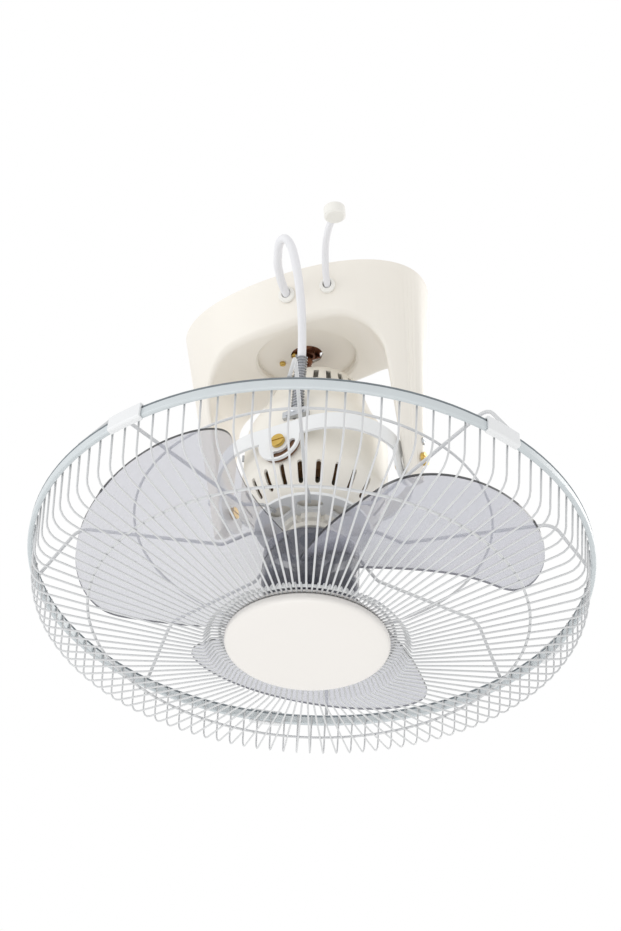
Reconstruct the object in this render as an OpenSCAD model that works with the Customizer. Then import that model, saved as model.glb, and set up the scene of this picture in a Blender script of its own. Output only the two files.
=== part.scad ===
// Ceiling fan whose guarded head orbits in a gimbal strap under a two-legged canopy.
// Origin: middle of the ceiling face. X runs along the leg-to-leg swing axis,
// -Y is the front with the flex loop, Z is up. Millimetres.
// The head is built upright about the swing centre and then leant by the cone angle.

/* [Canopy] */
// Ceiling face down to the swing axis
pivot_drop = 183; // [180:1:190]
// Ceiling face down to the deck underside
deck_drop = 46.7; // [45:0.1:48]
// Canopy depth front to back at the ceiling
canopy_dep = 140; // [134:1:150]
// Canopy length outside each leg face at the ceiling
leg_t = 33; // [31:1:38]
// Wall of the canopy moulding
wall = 3; // [2.5:0.5:3.5]

/* [Swing] */
// Half angle of the orbit cone
tilt = 11.5; // [10:0.5:12]
// Thickness of the gimbal strap
strap_t = 2.5; // [2:0.5:3]
// Radius of the swing bolts
pin_r = 3; // [2.5:0.5:3.5]
// Radius of the crank ball
ball_r = 5; // [4:0.5:5]

/* [Motor] */
// Largest diameter of the motor housing
motor_d = 126; // [122:1:130]
// Wall of the motor castings
case_t = 2.5; // [2:0.5:3]
// Radius of the motor shaft
shaft_r = 4; // [3.5:0.5:4.5]

/* [Guard] */
// Diameter over the guard rim
guard_d = 458; // [440:2:476]
// Swing axis down to the middle of the rim
rim_drop = 93.6; // [92:0.2:96]
// Front wires round the guard
wire_count = 110; // [90:2:116]
// Diameter of a front wire
wire_d = 1.6; // [1.4:0.1:2.2]
// Diameter of a rear arm
arm_d = 3; // [2.5:0.5:4]
// Diameter of the centre cap
cap_d = 131; // [126:1:134]

/* [Blades] */
// Diameter of the blade hub
hub_d = 80; // [76:1:84]
// Rim inner edge to the blade tip
tip_gap = 34; // [30:1:40]
// Blade thickness
blade_t = 2.2; // [1.8:0.1:2.6]

/* [Cords] */
// Diameter of the flex that loops to the motor
flex_d = 7.4; // [6:0.2:7.4]
// Diameter of the supply cord
supply_d = 6; // [5:0.5:6.5]

/* [Hidden] */
$fn = 64;
run_gap = 0.3;
bore_gap = 0.06;
seat = 0.02;
motor_r = motor_d / 2;
strap_x = motor_r + 21;
strap_y = motor_r + 5;
strap_r = strap_y - 8;
arch_x = strap_x + 2;
arch_r = 40;
base_x = arch_x + leg_t;
base_y = canopy_dep / 2;
lean_x = 0.0976;
lean_y = 0.2732;
leg_r = 20;
leg_end = pivot_drop + leg_r;
recess_h = 6.2;
recess_r = 45;
floor_z = -(deck_drop - recess_h);
ball_z = -(deck_drop + 1.3);
crank_l = pivot_drop + ball_z;
crank_r = crank_l * sin(tilt);
crank_u = crank_l * cos(tilt);
top_u = crank_u - 15.8;
split_u = 20;
rim_r = guard_d / 2;
rim_in = rim_r - 4;
wire_r = wire_d / 2;
arm_r = arm_d / 2;
hub_r = hub_d / 2;
tip_r = rim_in - tip_gap;
// flex route from the terminal block out of the front, round the loop and into the motor
flex_pts = [[12, -40.12, -22.2], [12.1, -50, -22], [13.5, -64.6, -20], [14.5, -73, -17.8],
  [16.4, -82, -15.4], [19, -90, -13.4], [22, -98, -11.4], [26, -105, -9.6], [30, -111.6, -8.2],
  [34, -117, -7.4], [38, -120, -7.6], [41.4, -121, -9.2], [43.6, -119.6, -12.4],
  [44.6, -116.4, -16.8], [44.4, -112, -22], [43, -105.4, -29.4], [41, -98.4, -37.4],
  [38.6, -91.6, -45.6], [36, -85, -53.6], [33, -78.6, -62], [29.8, -72.6, -70.6],
  [26.8, -67.4, -79]];
supply_pts = [[46, -40.3, -22], [46.9, -49, -22], [50.8, -59.7, -21], [53.6, -68, -18],
  [57, -76, -14.2], [61, -84, -10.8], [65, -91.6, -8.4], [69, -98.6, -7], [73, -104.8, -6.2],
  [77, -110.4, -5.8], [81, -115.4, -5.6], [85, -119.8, -5.6]];
// strain relief spring on the motor, head coordinates
spring_a = [12, -motor_r + 1, 37];
spring_b = [24, -motor_r - 18, 81];
spring_n = 19;
spring_mean = 4.8;
spring_wire = 0.7;

// Shapes used by several pieces

// superellipse outline with exponent n
function oval(a, b, n = 2.2, steps = 96) = [for (i = [0:steps - 1])
  let (t = 360 * i / steps, c = cos(t), s = sin(t))
  [a * sign(c) * pow(abs(c), 2 / n), b * sign(s) * pow(abs(s), 2 / n)]];

// canopy body leaning in towards the leg ends, drawn in by `inset`
module leaning(inset) {
  a = base_x - inset;
  b = base_y - inset;
  h = leg_end - (inset > 0 ? inset : 0);
  rotate([180, 0, 0])
    linear_extrude(height = h, scale = [1 - lean_x * h / a, 1 - lean_y * h / b], slices = 1)
      polygon(oval(a, b));
}

// everything above the swing axis plus the rounded leg ends
module leg_trim(r) {
  translate([-200, -200, -pivot_drop]) cube([400, 400, 400]);
  translate([-200, 0, -pivot_drop]) rotate([0, 90, 0]) cylinder(h = 400, r = r);
}

// front-to-back tunnel between the legs
module arch(grow) {
  x = arch_x + grow;
  r = arch_r + grow;
  top = -deck_drop + grow;
  translate([0, 150, 0]) rotate([90, 0, 0]) linear_extrude(height = 300) {
    translate([-x, -300]) square([2 * x, 300 + top - r]);
    translate([-x + r, -300]) square([2 * (x - r), 300 + top]);
    translate([-x + r, top - r]) circle(r = r);
    translate([x - r, top - r]) circle(r = r);
  }
}

// the leant head frame
module head() {
  translate([0, 0, -pivot_drop]) rotate([-tilt, 0, 0]) children();
}

// straight rod between two points
module rod(p, q, r) {
  v = q - p;
  l = norm(v);
  translate(p) rotate([0, acos(v[2] / l), atan2(v[1], v[0])]) cylinder(h = l, r = r);
}

// axis helpers: a cylinder along X or Y
module xcyl(x0, x1, r) {
  translate([x0, 0, 0]) rotate([0, 90, 0]) cylinder(h = x1 - x0, r = r);
}
module ycyl(y0, y1, r) {
  translate([0, y0, 0]) rotate([-90, 0, 0]) cylinder(h = y1 - y0, r = r);
}

// lathe from a closed list of [radius, height] points
module lathe(p) {
  rotate_extrude($fn = 96) polygon(p);
}

function unit(v) = v / norm(v);

// flat path p with corner i rounded to radius rr[i] in k steps
function rounded(p, rr, k) = [for (i = [0:len(p) - 1]) for (q = rr[i] == 0 ? [p[i]]
  : let (v = unit(p[i] - p[i - 1]), f = unit(p[i + 1] - p[i]), w = acos(v * f),
      side = sign(v[0] * f[1] - v[1] * f[0]), a = p[i] - v * rr[i] * tan(w / 2),
      o = a + side * rr[i] * [-v[1], v[0]])
    [for (j = [0:k]) let (e = atan2(a[1] - o[1], a[0] - o[0]) + side * w * j / k)
      o + rr[i] * [cos(e), sin(e)]]) q];

// drawn wire of w by w in the XZ plane along the path p, mitred at each bend
function mitre(p, h) = [for (i = [0:len(p) - 1])
  let (a = unit(p[i] - p[max(0, i - 1)] + (i == 0 ? p[1] - p[0] : [0, 0])),
    b = unit(p[min(len(p) - 1, i + 1)] - p[i] + (i == len(p) - 1 ? p[i] - p[i - 1] : [0, 0])),
    m = unit([-a[1] - b[1], a[0] + b[0]])) p[i] + m * h / (m * [-a[1], a[0]])];
module strip(p, w) {
  translate([0, w / 2, 0]) rotate([90, 0, 0]) linear_extrude(height = w)
    polygon(concat(mitre(p, w / 2), back(mitre(p, -w / 2))));
}

// unbroken round tube through the points p, m sides
module tube(p, r, m) {
  n = len(p);
  tg = [for (i = [0:n - 1]) unit(p[min(i + 1, n - 1)] - p[max(i - 1, 0)])];
  nr = frames(tg, 1, [start_normal(tg[0])]);
  ring = [for (i = [0:n - 1]) let (b = cross(tg[i], nr[i])) for (k = [0:m - 1])
    p[i] + r * (cos(360 * k / m) * nr[i] + sin(360 * k / m) * b)];
  sides = [for (i = [0:n - 2]) for (k = [0:m - 1]) let (j = (k + 1) % m)
    for (f = [[i * m + k, (i + 1) * m + k, i * m + j], [i * m + j, (i + 1) * m + k, (i + 1) * m + j]]) f];
  polyhedron(points = ring, faces = concat(sides,
    [[for (k = [0:m - 1]) k]], [[for (k = [m - 1:-1:0]) (n - 1) * m + k]]), convexity = 20);
}
function start_normal(t) = unit(cross(t, abs(t[2]) < 0.9 ? [0, 0, 1] : [1, 0, 0]));
function frames(tg, i, acc) = i >= len(tg) ? acc
  : frames(tg, i + 1, concat(acc, [unit(acc[i - 1] - (acc[i - 1] * tg[i]) * tg[i])]));

// spur gear outline: pitch radius, teeth, addendum, root depth, tooth width at root and tip
module teeth(pr, n, add, ded, wr, wt) {
  polygon([for (k = [0:n - 1]) let (a = 360 * k / n, hr = asin(wr / 2 / (pr - ded)),
    ht = asin(wt / 2 / (pr + add)))
    for (q = [[pr - ded, a - hr], [pr + add, a - ht], [pr + add, a + ht], [pr - ded, a + hr]])
      q[0] * [cos(q[1]), sin(q[1])]]);
}

// two-start worm centred on its mid plane, threads at 0 and 180 degrees there
module worm(tip, root, lead, l) {
  rotate([0, 0, -180 * l / lead])
    linear_extrude(height = l, center = true, twist = -360 * l / lead, slices = ceil(10 * l / lead), $fn = 12)
      polygon([for (i = [0:11]) let (a = 30 * i, w = abs((i % 6) / 6 - (i % 6 > 3 ? 1 : 0)),
        r = root + (tip - root) * min(1, max(0, (0.3 - w) / 0.22))) r * [cos(a), sin(a)]]);
}

// Canopy and the pieces fixed to it

leg_screw_z = -(pivot_drop - 17);
function leg_face(z) = base_x + lean_x * z;

module canopy_shell() {
  color([0.93, 0.87, 0.76]) difference() {
    union() {
      difference() {
        intersection() {
          leaning(0);
          leg_trim(leg_r);
        }
        arch(0);
        difference() {
          intersection() {
            leaning(wall);
            leg_trim(leg_r - wall);
          }
          arch(wall);
        }
        translate([0, 0, -1]) linear_extrude(height = 2) polygon(oval(base_x - wall, base_y - wall));
      }
      translate([0, 0, -deck_drop]) cylinder(h = recess_h + wall, r = recess_r + wall);
    }
    translate([0, 0, -deck_drop - 1]) cylinder(h = recess_h + 1, r = recess_r);
    translate([0, 0, -deck_drop - 0.01]) cylinder(h = 2, r1 = recess_r + 2, r2 = recess_r);
    translate([0, 0, -deck_drop]) cylinder(h = 20, r = 14.5);
    translate([socket_pts[0][0], 0, -deck_drop]) cylinder(h = 20, r = 1.5 + seat);
    translate(flex_pts[2]) rotate([105.3, 0, 3]) cylinder(h = 16, r = 6.2, center = true);
    translate(supply_pts[2]) rotate([105.3, 0, 12.5]) cylinder(h = 16, r = 5.7, center = true);
    translate([0, 0, -pivot_drop]) {
      xcyl(-arch_x - wall - 1, -arch_x + 1, pin_r + seat);
      xcyl(arch_x - 1, base_x, pin_r + seat);
      xcyl(leg_face(-pivot_drop) - 0.5, base_x, pin_r + 3.2);
    }
    for (s = [-1, 1]) translate([0, 0, leg_screw_z]) {
      xcyl(s > 0 ? arch_x + wall + 1 : -base_x, s > 0 ? base_x : -arch_x - wall - 1, 1.6);
      xcyl(s > 0 ? leg_face(leg_screw_z) - 0.6 : -base_x, s > 0 ? base_x : -leg_face(leg_screw_z) + 0.6, 3.6);
    }
  }
}

slot_x = 110;
slot_y = 50;

module mounting_plate() {
  color([0.72, 0.73, 0.74]) difference() {
    translate([-75, -38, -2]) cube([150, 76, 2]);
    for (sx = [-1, 1]) for (sy = [-1, 1]) translate([sx * slot_x / 2, sy * slot_y / 2, -3]) {
      translate([-4, -3, 0]) cube([8, 6, 4]);
      for (e = [-4, 4]) translate([e, 0, 0]) cylinder(h = 4, r = 3);
    }
    translate([30, -26, -3]) cylinder(h = 4, r = 7);
  }
}

yoke_x = arch_x + wall;
module yoke_frame() {
  foot = 6;
  color([0.68, 0.69, 0.7]) {
    difference() {
      union() {
        translate([-yoke_x - 2.5, -14, -4.5]) cube([2 * yoke_x + 5, 28, 2.5]);
        for (s = [-1, 1]) translate([s > 0 ? yoke_x : -yoke_x - 2.5, 0, 0])
          rotate([90, 0, 90]) linear_extrude(height = 2.5)
            polygon([[-30, -2], [30, -2], [foot, -pivot_drop + 1], [foot - 2, -pivot_drop - 5],
              [-foot + 2, -pivot_drop - 5], [-foot, -pivot_drop + 1]]);
      }
      translate([0, 0, -pivot_drop]) xcyl(-120, 120, pin_r + seat);
      translate([0, 0, leg_screw_z]) xcyl(-120, 120, 1.5 + seat);
    }
  }
}

// clear cup for the crank ball, hung from a strap over the deck hole
socket_pts = [[-25, 0], [-11, -3]];
module crank_socket() {
  mouth = ball_z + ball_r + 0.5;
  top = floor_z + wall;
  color([0.66, 0.42, 0.27]) difference() {
    union() {
      translate([-30, -7, top]) cube([54, 14, 2.5]);
      translate([0, 0, mouth]) cylinder(h = top - mouth + 1, r = ball_r + 2.6);
      for (s = [-1, 1]) translate([-2.5, s * 8 - 1, mouth + 1]) cube([12, 2, top - mouth]);
    }
    translate([0, 0, mouth - 1]) cylinder(h = 5.5, r = ball_r + 0.6);
    for (q = socket_pts) translate([q[0], q[1], top - 1]) cylinder(h = 6, r = 1.5 + seat);
  }
}

// one screw from below through the deck, one in the strap over the hole
module socket_screws() {
  top = floor_z + wall;
  color([0.78, 0.66, 0.38]) for (i = [0, 1]) let (z = i == 0 ? floor_z : top)
    translate([socket_pts[i][0], socket_pts[i][1], 0]) difference() {
      union() {
        translate([0, 0, z]) cylinder(h = top - z + 4.6, r = 1.5);
        translate([0, 0, z - 2]) cylinder(h = 2, r = 2.8);
        translate([0, 0, top + 2.5]) cylinder(h = 2, r = 3, $fn = 6);
      }
      translate([-4, -0.4, z - 3]) cube([8, 0.8, 1.8]);
    }
}

// bush with flanges on both sides of the wall, bored along the cord at `slant`
module grommet(hole, neck, slant) {
  difference() {
    translate([0, 0, -0.2]) union() {
      cylinder(h = 2, r = neck + 1.4);
      translate([0, 0, 2]) cylinder(h = 0.8, r1 = neck + 1.4, r2 = neck + 0.7);
      translate([0, 0, -wall - 0.4]) cylinder(h = wall + 0.8, r = neck - 0.1);
      translate([0, 0, -wall - 1.5]) cylinder(h = 1.2, r = neck + 1);
    }
    rotate([-slant, 0, 0]) cylinder(h = 40, r = hole, center = true);
  }
}

module flex_grommet() {
  color([0.95, 0.94, 0.91]) translate(flex_pts[2]) rotate([105.3, 0, 3])
    grommet(flex_d / 2 + 0.5, 6.2, 25.6);
}

module supply_grommet() {
  color([0.95, 0.94, 0.91]) translate(supply_pts[2]) rotate([105.3, 0, 12.5]) translate([0, 0, 0.1])
    grommet(supply_d / 2 + 0.9, 5.7, 25.5);
}

module leg_screws() {
  x = leg_face(leg_screw_z) - 0.6;
  color([0.8, 0.78, 0.72]) translate([0, 0, leg_screw_z]) for (s = [-1, 1]) difference() {
    union() {
      xcyl(s > 0 ? yoke_x : -x, s > 0 ? x : -yoke_x, 1.5);
      xcyl(s > 0 ? x : -x - 1.8, s > 0 ? x + 1.8 : -x, 3.2);
    }
    translate([s > 0 ? x + 1 : -x - 2, -4, -0.4]) cube([1, 8, 0.8]);
  }
}

module swing_bolt_left() {
  a = strap_x - strap_t - run_gap;
  b = yoke_x + 2.5;
  color([0.8, 0.68, 0.4]) translate([0, 0, -pivot_drop]) difference() {
    union() {
      xcyl(-b - 2.8, -a, pin_r);
      xcyl(-a, -a + 4, pin_r + 2.4);
      xcyl(-b - 2.4, -b, pin_r + 1.4);
    }
    translate([-a + 3, -8, -0.6]) cube([2, 16, 1.2]);
  }
}

module swing_bolt_right() {
  a = strap_x - strap_t - run_gap;
  b = leg_face(-pivot_drop) - 0.5;
  color([0.8, 0.68, 0.4]) translate([0, 0, -pivot_drop]) {
    xcyl(a - 5, b, pin_r);
    difference() {
      xcyl(b, b + 3.4, pin_r + 2.8);
      translate([b + 2.4, -8, -0.6]) cube([2, 16, 1.2]);
    }
    translate([a - 4, 0, 0]) rotate([0, 90, 0]) cylinder(h = 4, r = pin_r + 2.6, $fn = 6);
  }
}

module leg_washers() {
  color([0.9, 0.89, 0.84]) translate([0, 0, -pivot_drop]) for (s = [-1, 1]) difference() {
    xcyl(s > 0 ? strap_x + run_gap : -arch_x, s > 0 ? arch_x : -strap_x - run_gap, pin_r + 5);
    xcyl(-100, 100, pin_r + seat);
  }
}

module terminal_block() {
  color([0.9, 0.9, 0.87]) difference() {
    translate([4, -40, -31]) cube([46, 16, 26.5]);
    for (i = [0:3]) translate([10 + 11 * i, -32, -32]) cylinder(h = 6, r = 2.4);
    translate([3, -29, -6]) cube([48, 6, 2]);
  }
  color([0.9, 0.9, 0.87]) translate([10, -38, -4.6]) cube([34, 9, 2.6]);
}

module run_capacitor() {
  color([0.85, 0.85, 0.83]) {
    translate([-62, 20, -28]) cube([48, 18, 26]);
    translate([-56, 24, -30]) cube([3, 10, 2]);
    translate([-24, 24, -30]) cube([3, 10, 2]);
  }
}

module supply_cord() {
  color([0.96, 0.95, 0.93]) tube(supply_pts, supply_d / 2, 10);
}

// low round outlet that the cord enters from the side
module ceiling_fitting() {
  q = supply_pts[11];
  v = unit(q - supply_pts[10]);
  color([0.95, 0.94, 0.91]) difference() {
    translate([q[0] + 7 * v[0], q[1] + 7 * v[1], -9.4]) {
      translate([0, 0, 1.4]) cylinder(h = 8, r = 9);
      cylinder(h = 1.4, r1 = 7.4, r2 = 9);
    }
    rod(q - 4 * v, q + 0.05 * v, supply_d / 2 + 0.2);
  }
}

module flex_loop() {
  color([0.96, 0.95, 0.93]) tube(concat(flex_pts, flex_tail), flex_d / 2, 10);
}

function leant(p) = [p[0], p[1] * cos(tilt) + p[2] * sin(tilt),
  -pivot_drop - p[1] * sin(tilt) + p[2] * cos(tilt)];
flex_tail = [for (k = [0:5]) leant(spring_b + (spring_a - spring_b) * (0.02 + 0.225 * k))];

// Gimbal

module soft_square(x, y, r) {
  translate([-x + r, -y]) square([2 * (x - r), 2 * y]);
  translate([-x, -y + r]) square([2 * x, 2 * (y - r)]);
  for (sx = [-1, 1]) for (sy = [-1, 1]) translate([sx * (x - r), sy * (y - r)]) circle(r = r);
}

strap_lo = 4;
strap_hi = 20;
plate_r = 19;
module gimbal_strap() {
  a = strap_x;
  b = strap_y;
  color([0.93, 0.92, 0.89]) head() difference() {
    union() {
      translate([0, 0, strap_lo]) linear_extrude(height = strap_hi - strap_lo) difference() {
        soft_square(a, b, strap_r);
        soft_square(a - strap_t, b - strap_t, strap_r - strap_t);
      }
      translate([0, 0, 1]) {
        xcyl(a - strap_t, a, plate_r);
        xcyl(-a, -a + strap_t, plate_r);
        ycyl(b - strap_t, b, plate_r);
        ycyl(-b, -b + strap_t, plate_r);
      }
    }
    xcyl(-a - 1, a + 1, pin_r + bore_gap);
    ycyl(-b - 1, b + 1, pin_r + bore_gap);
    for (s = [-1, 1]) translate([0, s * b, 0]) rotate([90, 0, 0])
      translate([0, 0, -strap_t - 1]) linear_extrude(height = 2 * strap_t + 2) arc_slot(s);
  }
}

// crescent window beside the tilt screw
module arc_slot(s) {
  for (k = [0:6]) rotate(s * (-75 + 15 * k)) translate([0, -12.7]) circle(r = 3.2);
  for (k = [0:5]) rotate(s * (-67.5 + 15 * k)) translate([-1.9, -15.9]) square([3.8, 6.4]);
}

// Motor

skin = [[33, top_u], [36, top_u - 1.4], [38.4, top_u - 4.4], [40.4, top_u - 9], [43, top_u - 17],
  [45.8, top_u - 26], [48.6, top_u - 34], [51.6, top_u - 42], [55, top_u - 49.6], [58.6, top_u - 56.4],
  [61, top_u - 62], [62.4, 48.6], [motor_r, 42], [motor_r, split_u]];
belly = [[motor_r, split_u], [motor_r, -10], [motor_r - 0.9, -15.6], [motor_r - 2.9, -21],
  [motor_r - 5.6, -26], [motor_r - 9, -31], [motor_r - 12.8, -35.6], [motor_r - 17, -40]];
function inner(p) = [for (q = p) [q[0] - case_t, q[1]]];
function back(p) = [for (i = [len(p) - 1:-1:0]) p[i]];

module motor_rear_cover() {
  color([0.92, 0.86, 0.75]) head() difference() {
    union() {
      lathe(concat([[12, top_u]], skin, back(inner(skin)), [[12, top_u - case_t]]));
      translate([0, 0, top_u - 9]) cylinder(h = 9.6, r = 12.5);
    }
    translate([0, 0, top_u - 12]) cylinder(h = 20, r = shaft_r + bore_gap);
    for (k = [0:23]) rotate([0, 0, 15 * k + 7.5]) translate([30, -2.3, top_u - 24.5]) cube([20, 4.6, 13.5]);
    for (k = [0:2]) rotate([0, 0, 120 * k + 90]) translate([motor_r - 6, 0, 0])
      translate([0, 0, 30]) rotate([0, 90, 0]) cylinder(h = 12, r = 1.5 + seat);
    rod(spring_a + 4 * spring_axis, spring_a - 18 * spring_axis, flex_d / 2 + 0.5);
    rod(spring_a + 0.05 * spring_axis, spring_a + 0.4 * (spring_b - spring_a), spring_mean + spring_wire + 0.3);
    for (q = clamp_pts) rod(q, q + [-q[0], -q[1], 0] * 0.16, 1.2 + seat);
  }
}

module motor_front_cover() {
  color([0.92, 0.86, 0.75]) head() difference() {
    union() {
      lathe(concat([[26, -42]], [[26, -40]], back(belly), inner(belly),
        [[20, -37.5], [20, -36], [12, -36], [12, -42]]));
      difference() {
        translate([0, 0, -55]) cylinder(h = 19, r = 17.5);
        translate([0, 0, -56]) cylinder(h = 10, r = 11 + seat);
      }
      for (s = [-1, 1]) difference() {
        ycyl(s > 0 ? 54 : -strap_y + strap_t + run_gap, s > 0 ? strap_y - strap_t - run_gap : -54, 8.6);
        cylinder(h = 60, r = motor_r - case_t, center = true);
      }
    }
    translate([0, 0, -60]) cylinder(h = 60, r = shaft_r + 2);
    for (k = [0:23]) rotate([0, 0, 15 * k]) translate([38, 0, -32.5]) {
      translate([0, -2, 0]) cube([30, 4, 13]);
      for (z = [0, 13]) translate([0, 0, z]) xcyl(0, 30, 2);
    }
    for (s = [-1, 1]) ycyl(s > 0 ? motor_r - 2.5 : -strap_y - 10, s > 0 ? strap_y + 10 : -motor_r + 2.5, pin_r + seat);
  }
}

module cover_screws() {
  color([0.75, 0.75, 0.76]) head() for (k = [0:2]) rotate([0, 0, 120 * k + 90]) translate([0, 0, 30])
    difference() {
      union() {
        xcyl(motor_r - 4, motor_r, 1.5);
        xcyl(motor_r, motor_r + 1.9, 3);
      }
      translate([motor_r + 1, -4, -0.4]) cube([2, 8, 0.8]);
    }
}

module tilt_screws() {
  h = strap_y + run_gap;
  color([0.8, 0.66, 0.36]) head() for (s = [-1, 1]) difference() {
    union() {
      ycyl(s > 0 ? motor_r - 2.4 : -h, s > 0 ? h : -motor_r + 2.4, pin_r);
      ycyl(s > 0 ? h : -h - 3.4, s > 0 ? h + 3.4 : -h, pin_r + 3.2);
    }
    translate([-8, s > 0 ? h + 2.4 : -h - 3.4, -0.6]) cube([16, 1, 1.2]);
  }
}

// rubber rings round the tilt bosses, seen through the crescent windows
module rubber_buffers() {
  color([0.2, 0.14, 0.1]) head() for (k = [-1, 1]) difference() {
    ycyl(k > 0 ? motor_r + seat : -strap_y + strap_t + 0.5, k > 0 ? strap_y - strap_t - 0.5 : -motor_r - seat, 17.6);
    ycyl(-80, 80, 8.6 + seat);
  }
}

module stator_core() {
  color([0.5, 0.5, 0.52]) head() difference() {
    translate([0, 0, -4]) cylinder(h = 32, r = motor_r - case_t - seat);
    translate([0, 0, -5]) cylinder(h = 34, r = 28.3);
    for (k = [0:15]) rotate([0, 0, 22.5 * k]) {
      translate([27, -1.2, -5]) cube([6, 2.4, 34]);
      translate([33, -4, -5]) cube([14, 8, 34]);
    }
  }
}

module stator_windings() {
  color([0.7, 0.38, 0.2]) head() {
    for (k = [0:15]) rotate([0, 0, 22.5 * k]) translate([33.4, -3.6, -4]) cube([13.2, 7.2, 32]);
    lathe([[31.5, 28 + seat], [48.5, 28 + seat], [50, 33], [46, 38], [35, 38], [31.5, 34]]);
    lathe([[31.5, -4 - seat], [48.5, -4 - seat], [49, -9], [45, -14], [35, -14], [31.5, -10]]);
  }
}

gear_u = 57;
module gear_plate() {
  color([0.6, 0.61, 0.62]) head() difference() {
    union() {
      translate([0, 0, 41]) cylinder(h = 3, r = motor_r - case_t - 0.6);
      translate([0, 0, 39]) cylinder(h = 8, r = 8);
      translate([18, 0, 41]) cylinder(h = 7, r = 4.5);
      for (x = [-24, 26]) translate([x, 6, 43]) cube([4, 14, 20.5]);
    }
    translate([0, 0, 30]) cylinder(h = 30, r = shaft_r + bore_gap);
    translate([18, 0, 42]) cylinder(h = 10, r = 2 + bore_gap);
    translate([0, 13, gear_u]) xcyl(-30, 36, 2.5 + bore_gap);
    rod(spring_a + 0.35 * (spring_a - spring_b), spring_b, 7);
  }
}

bridge_pts = [[-26, -12], [30, -15], [0, 31]];
module gear_bridge() {
  color([0.6, 0.61, 0.62]) head() difference() {
    union() {
      translate([0, 0, 84]) cylinder(h = 3, r = 36.5);
      for (q = bridge_pts) translate([q[0], q[1], 44]) cylinder(h = 40.5, r = 3.2);
      translate([0, 0, 82]) cylinder(h = 7, r = 8);
    }
    translate([0, 0, 80]) cylinder(h = 12, r = shaft_r + bore_gap);
    translate([18, 0, 80]) cylinder(h = 12, r = 2 + bore_gap);
  }
}

module front_bearing() {
  color([0.62, 0.63, 0.65]) head() translate([0, 0, -54.6]) difference() {
    cylinder(h = 8.6, r = 11);
    translate([0, 0, -1]) cylinder(h = 11, r = shaft_r + bore_gap);
    translate([0, 0, -0.1]) difference() {
      cylinder(h = 0.7, r = 9.2);
      translate([0, 0, -0.5]) cylinder(h = 2, r = 6);
    }
  }
}

// close coils round the flex, one unbroken wire
spring_axis = unit(spring_b - spring_a);
spring_len = norm(spring_b - spring_a);
spring_e1 = start_normal(spring_axis);
spring_e2 = cross(spring_axis, spring_e1);
spring_pts = [for (i = [0:8 * spring_n]) let (w = 45 * i,
  h = spring_wire + 0.2 + (spring_len - 2) * i / (8 * spring_n))
  spring_a + h * spring_axis + spring_mean * (cos(w) * spring_e1 + sin(w) * spring_e2)];
echo(spring_gap = min([for (i = [0:8 * (spring_n - 1)]) norm(spring_pts[i + 8] - spring_pts[i])]) - 2 * spring_wire);
module flex_spring() {
  color([0.7, 0.71, 0.72]) head() tube(spring_pts, spring_wire, 6);
}

clamp_pts = [[5.6, -motor_r - 1.4, 31], [18.4, -motor_r + 1.2, 31]];
module spring_clamp() {
  color([0.72, 0.73, 0.74]) head() difference() {
    union() {
      rod(spring_a - 3.2 * spring_axis, spring_a + 0.1 * spring_axis, 6.6);
      translate([0.8, -motor_r - 3.4, 27.6]) cube([22, 8, 6.8]);
    }
    cylinder(h = 120, r = motor_r + seat);
    rod(spring_a - 12 * spring_axis, spring_a + 5 * spring_axis, flex_d / 2 + 0.35);
    for (q = clamp_pts) {
      translate([q[0], 0, q[2]]) ycyl(-motor_r - 9, -motor_r + 8, 1.2 + seat);
      translate([q[0], 0, q[2]]) ycyl(-motor_r - 12, -motor_r - 3.4, 2.5);
    }
  }
}

module clamp_screws() {
  color([0.75, 0.75, 0.76]) head() for (q = clamp_pts) translate([q[0], -motor_r - 3.4, q[2]]) {
    ycyl(0, 3.2, 1.2);
    ycyl(-1.4, 0, 2.3);
  }
}

// Guard

plate_u = -42 - seat;
module guard_plate() {
  color([0.86, 0.88, 0.92]) head() difference() {
    translate([0, 0, plate_u - 3]) cylinder(h = 3, r = 49);
    translate([0, 0, plate_u - 4]) cylinder(h = 6, r = 17.6);
    for (k = [0:7]) rotate([0, 0, 45 * k + 22.5]) translate([0, 0, plate_u - 4]) {
      translate([30, -3, 0]) cube([6, 6, 6]);
      translate([30, 0, 0]) cylinder(h = 6, r = 3);
      translate([36, 0, 0]) cylinder(h = 6, r = 3);
    }
  }
}

module guard_nut() {
  u = plate_u - 3;
  color([0.93, 0.88, 0.78]) head() difference() {
    lathe([[17.5 + seat, u], [26, u], [26, u - 5], [24.6, u - 6], [22.4, u - 6.4], [22.4, u - 10.6],
      [21, u - 11.4], [17.5 + seat, u - 11.4]]);
    for (k = [0:7]) rotate([0, 0, 45 * k]) translate([25, 0, u - 7]) cylinder(h = 8, r = 2);
  }
}

function arm_path() = [[41, plate_u - 3 - arm_r], [54, plate_u - 3 - arm_r], [75, -58],
  [rim_r - 29, -39.5], [rim_r - 2.4, -(rim_drop - 5.94)]];
module rear_arms() {
  color([0.88, 0.89, 0.9]) head()
    for (k = [0:7]) rotate([0, 0, 45 * k + 22.5]) tube([for (q = rounded(arm_path(), [0, 7, 8, 14, 0], 3)) [q[0], 0, q[1]]], arm_r, 8);
}

module rear_ring() {
  p = arm_path()[2];
  q = arm_path()[3];
  x = 150 * rim_r / 229;
  u = p[1] + (q[1] - p[1]) * (x - p[0]) / (q[0] - p[0]) + (arm_r + 1.1) * 1.012 + seat;
  color([0.88, 0.89, 0.9]) head() translate([0, 0, u]) rotate_extrude($fn = 128)
    translate([x, 0]) circle(r = 1.1, $fn = 24);
}

module rim_band(lo, hi) {
  c = 0.9;
  lathe([[rim_in, lo + c], [rim_in + c, lo], [rim_r - c, lo], [rim_r, lo + c],
    [rim_r, hi - c], [rim_r - c, hi], [rim_in + c, hi], [rim_in, hi - c]]);
}

module rear_rim() {
  color([0.84, 0.85, 0.87]) head() rim_band(-rim_drop + 3, -rim_drop + 4.9);
}

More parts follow.
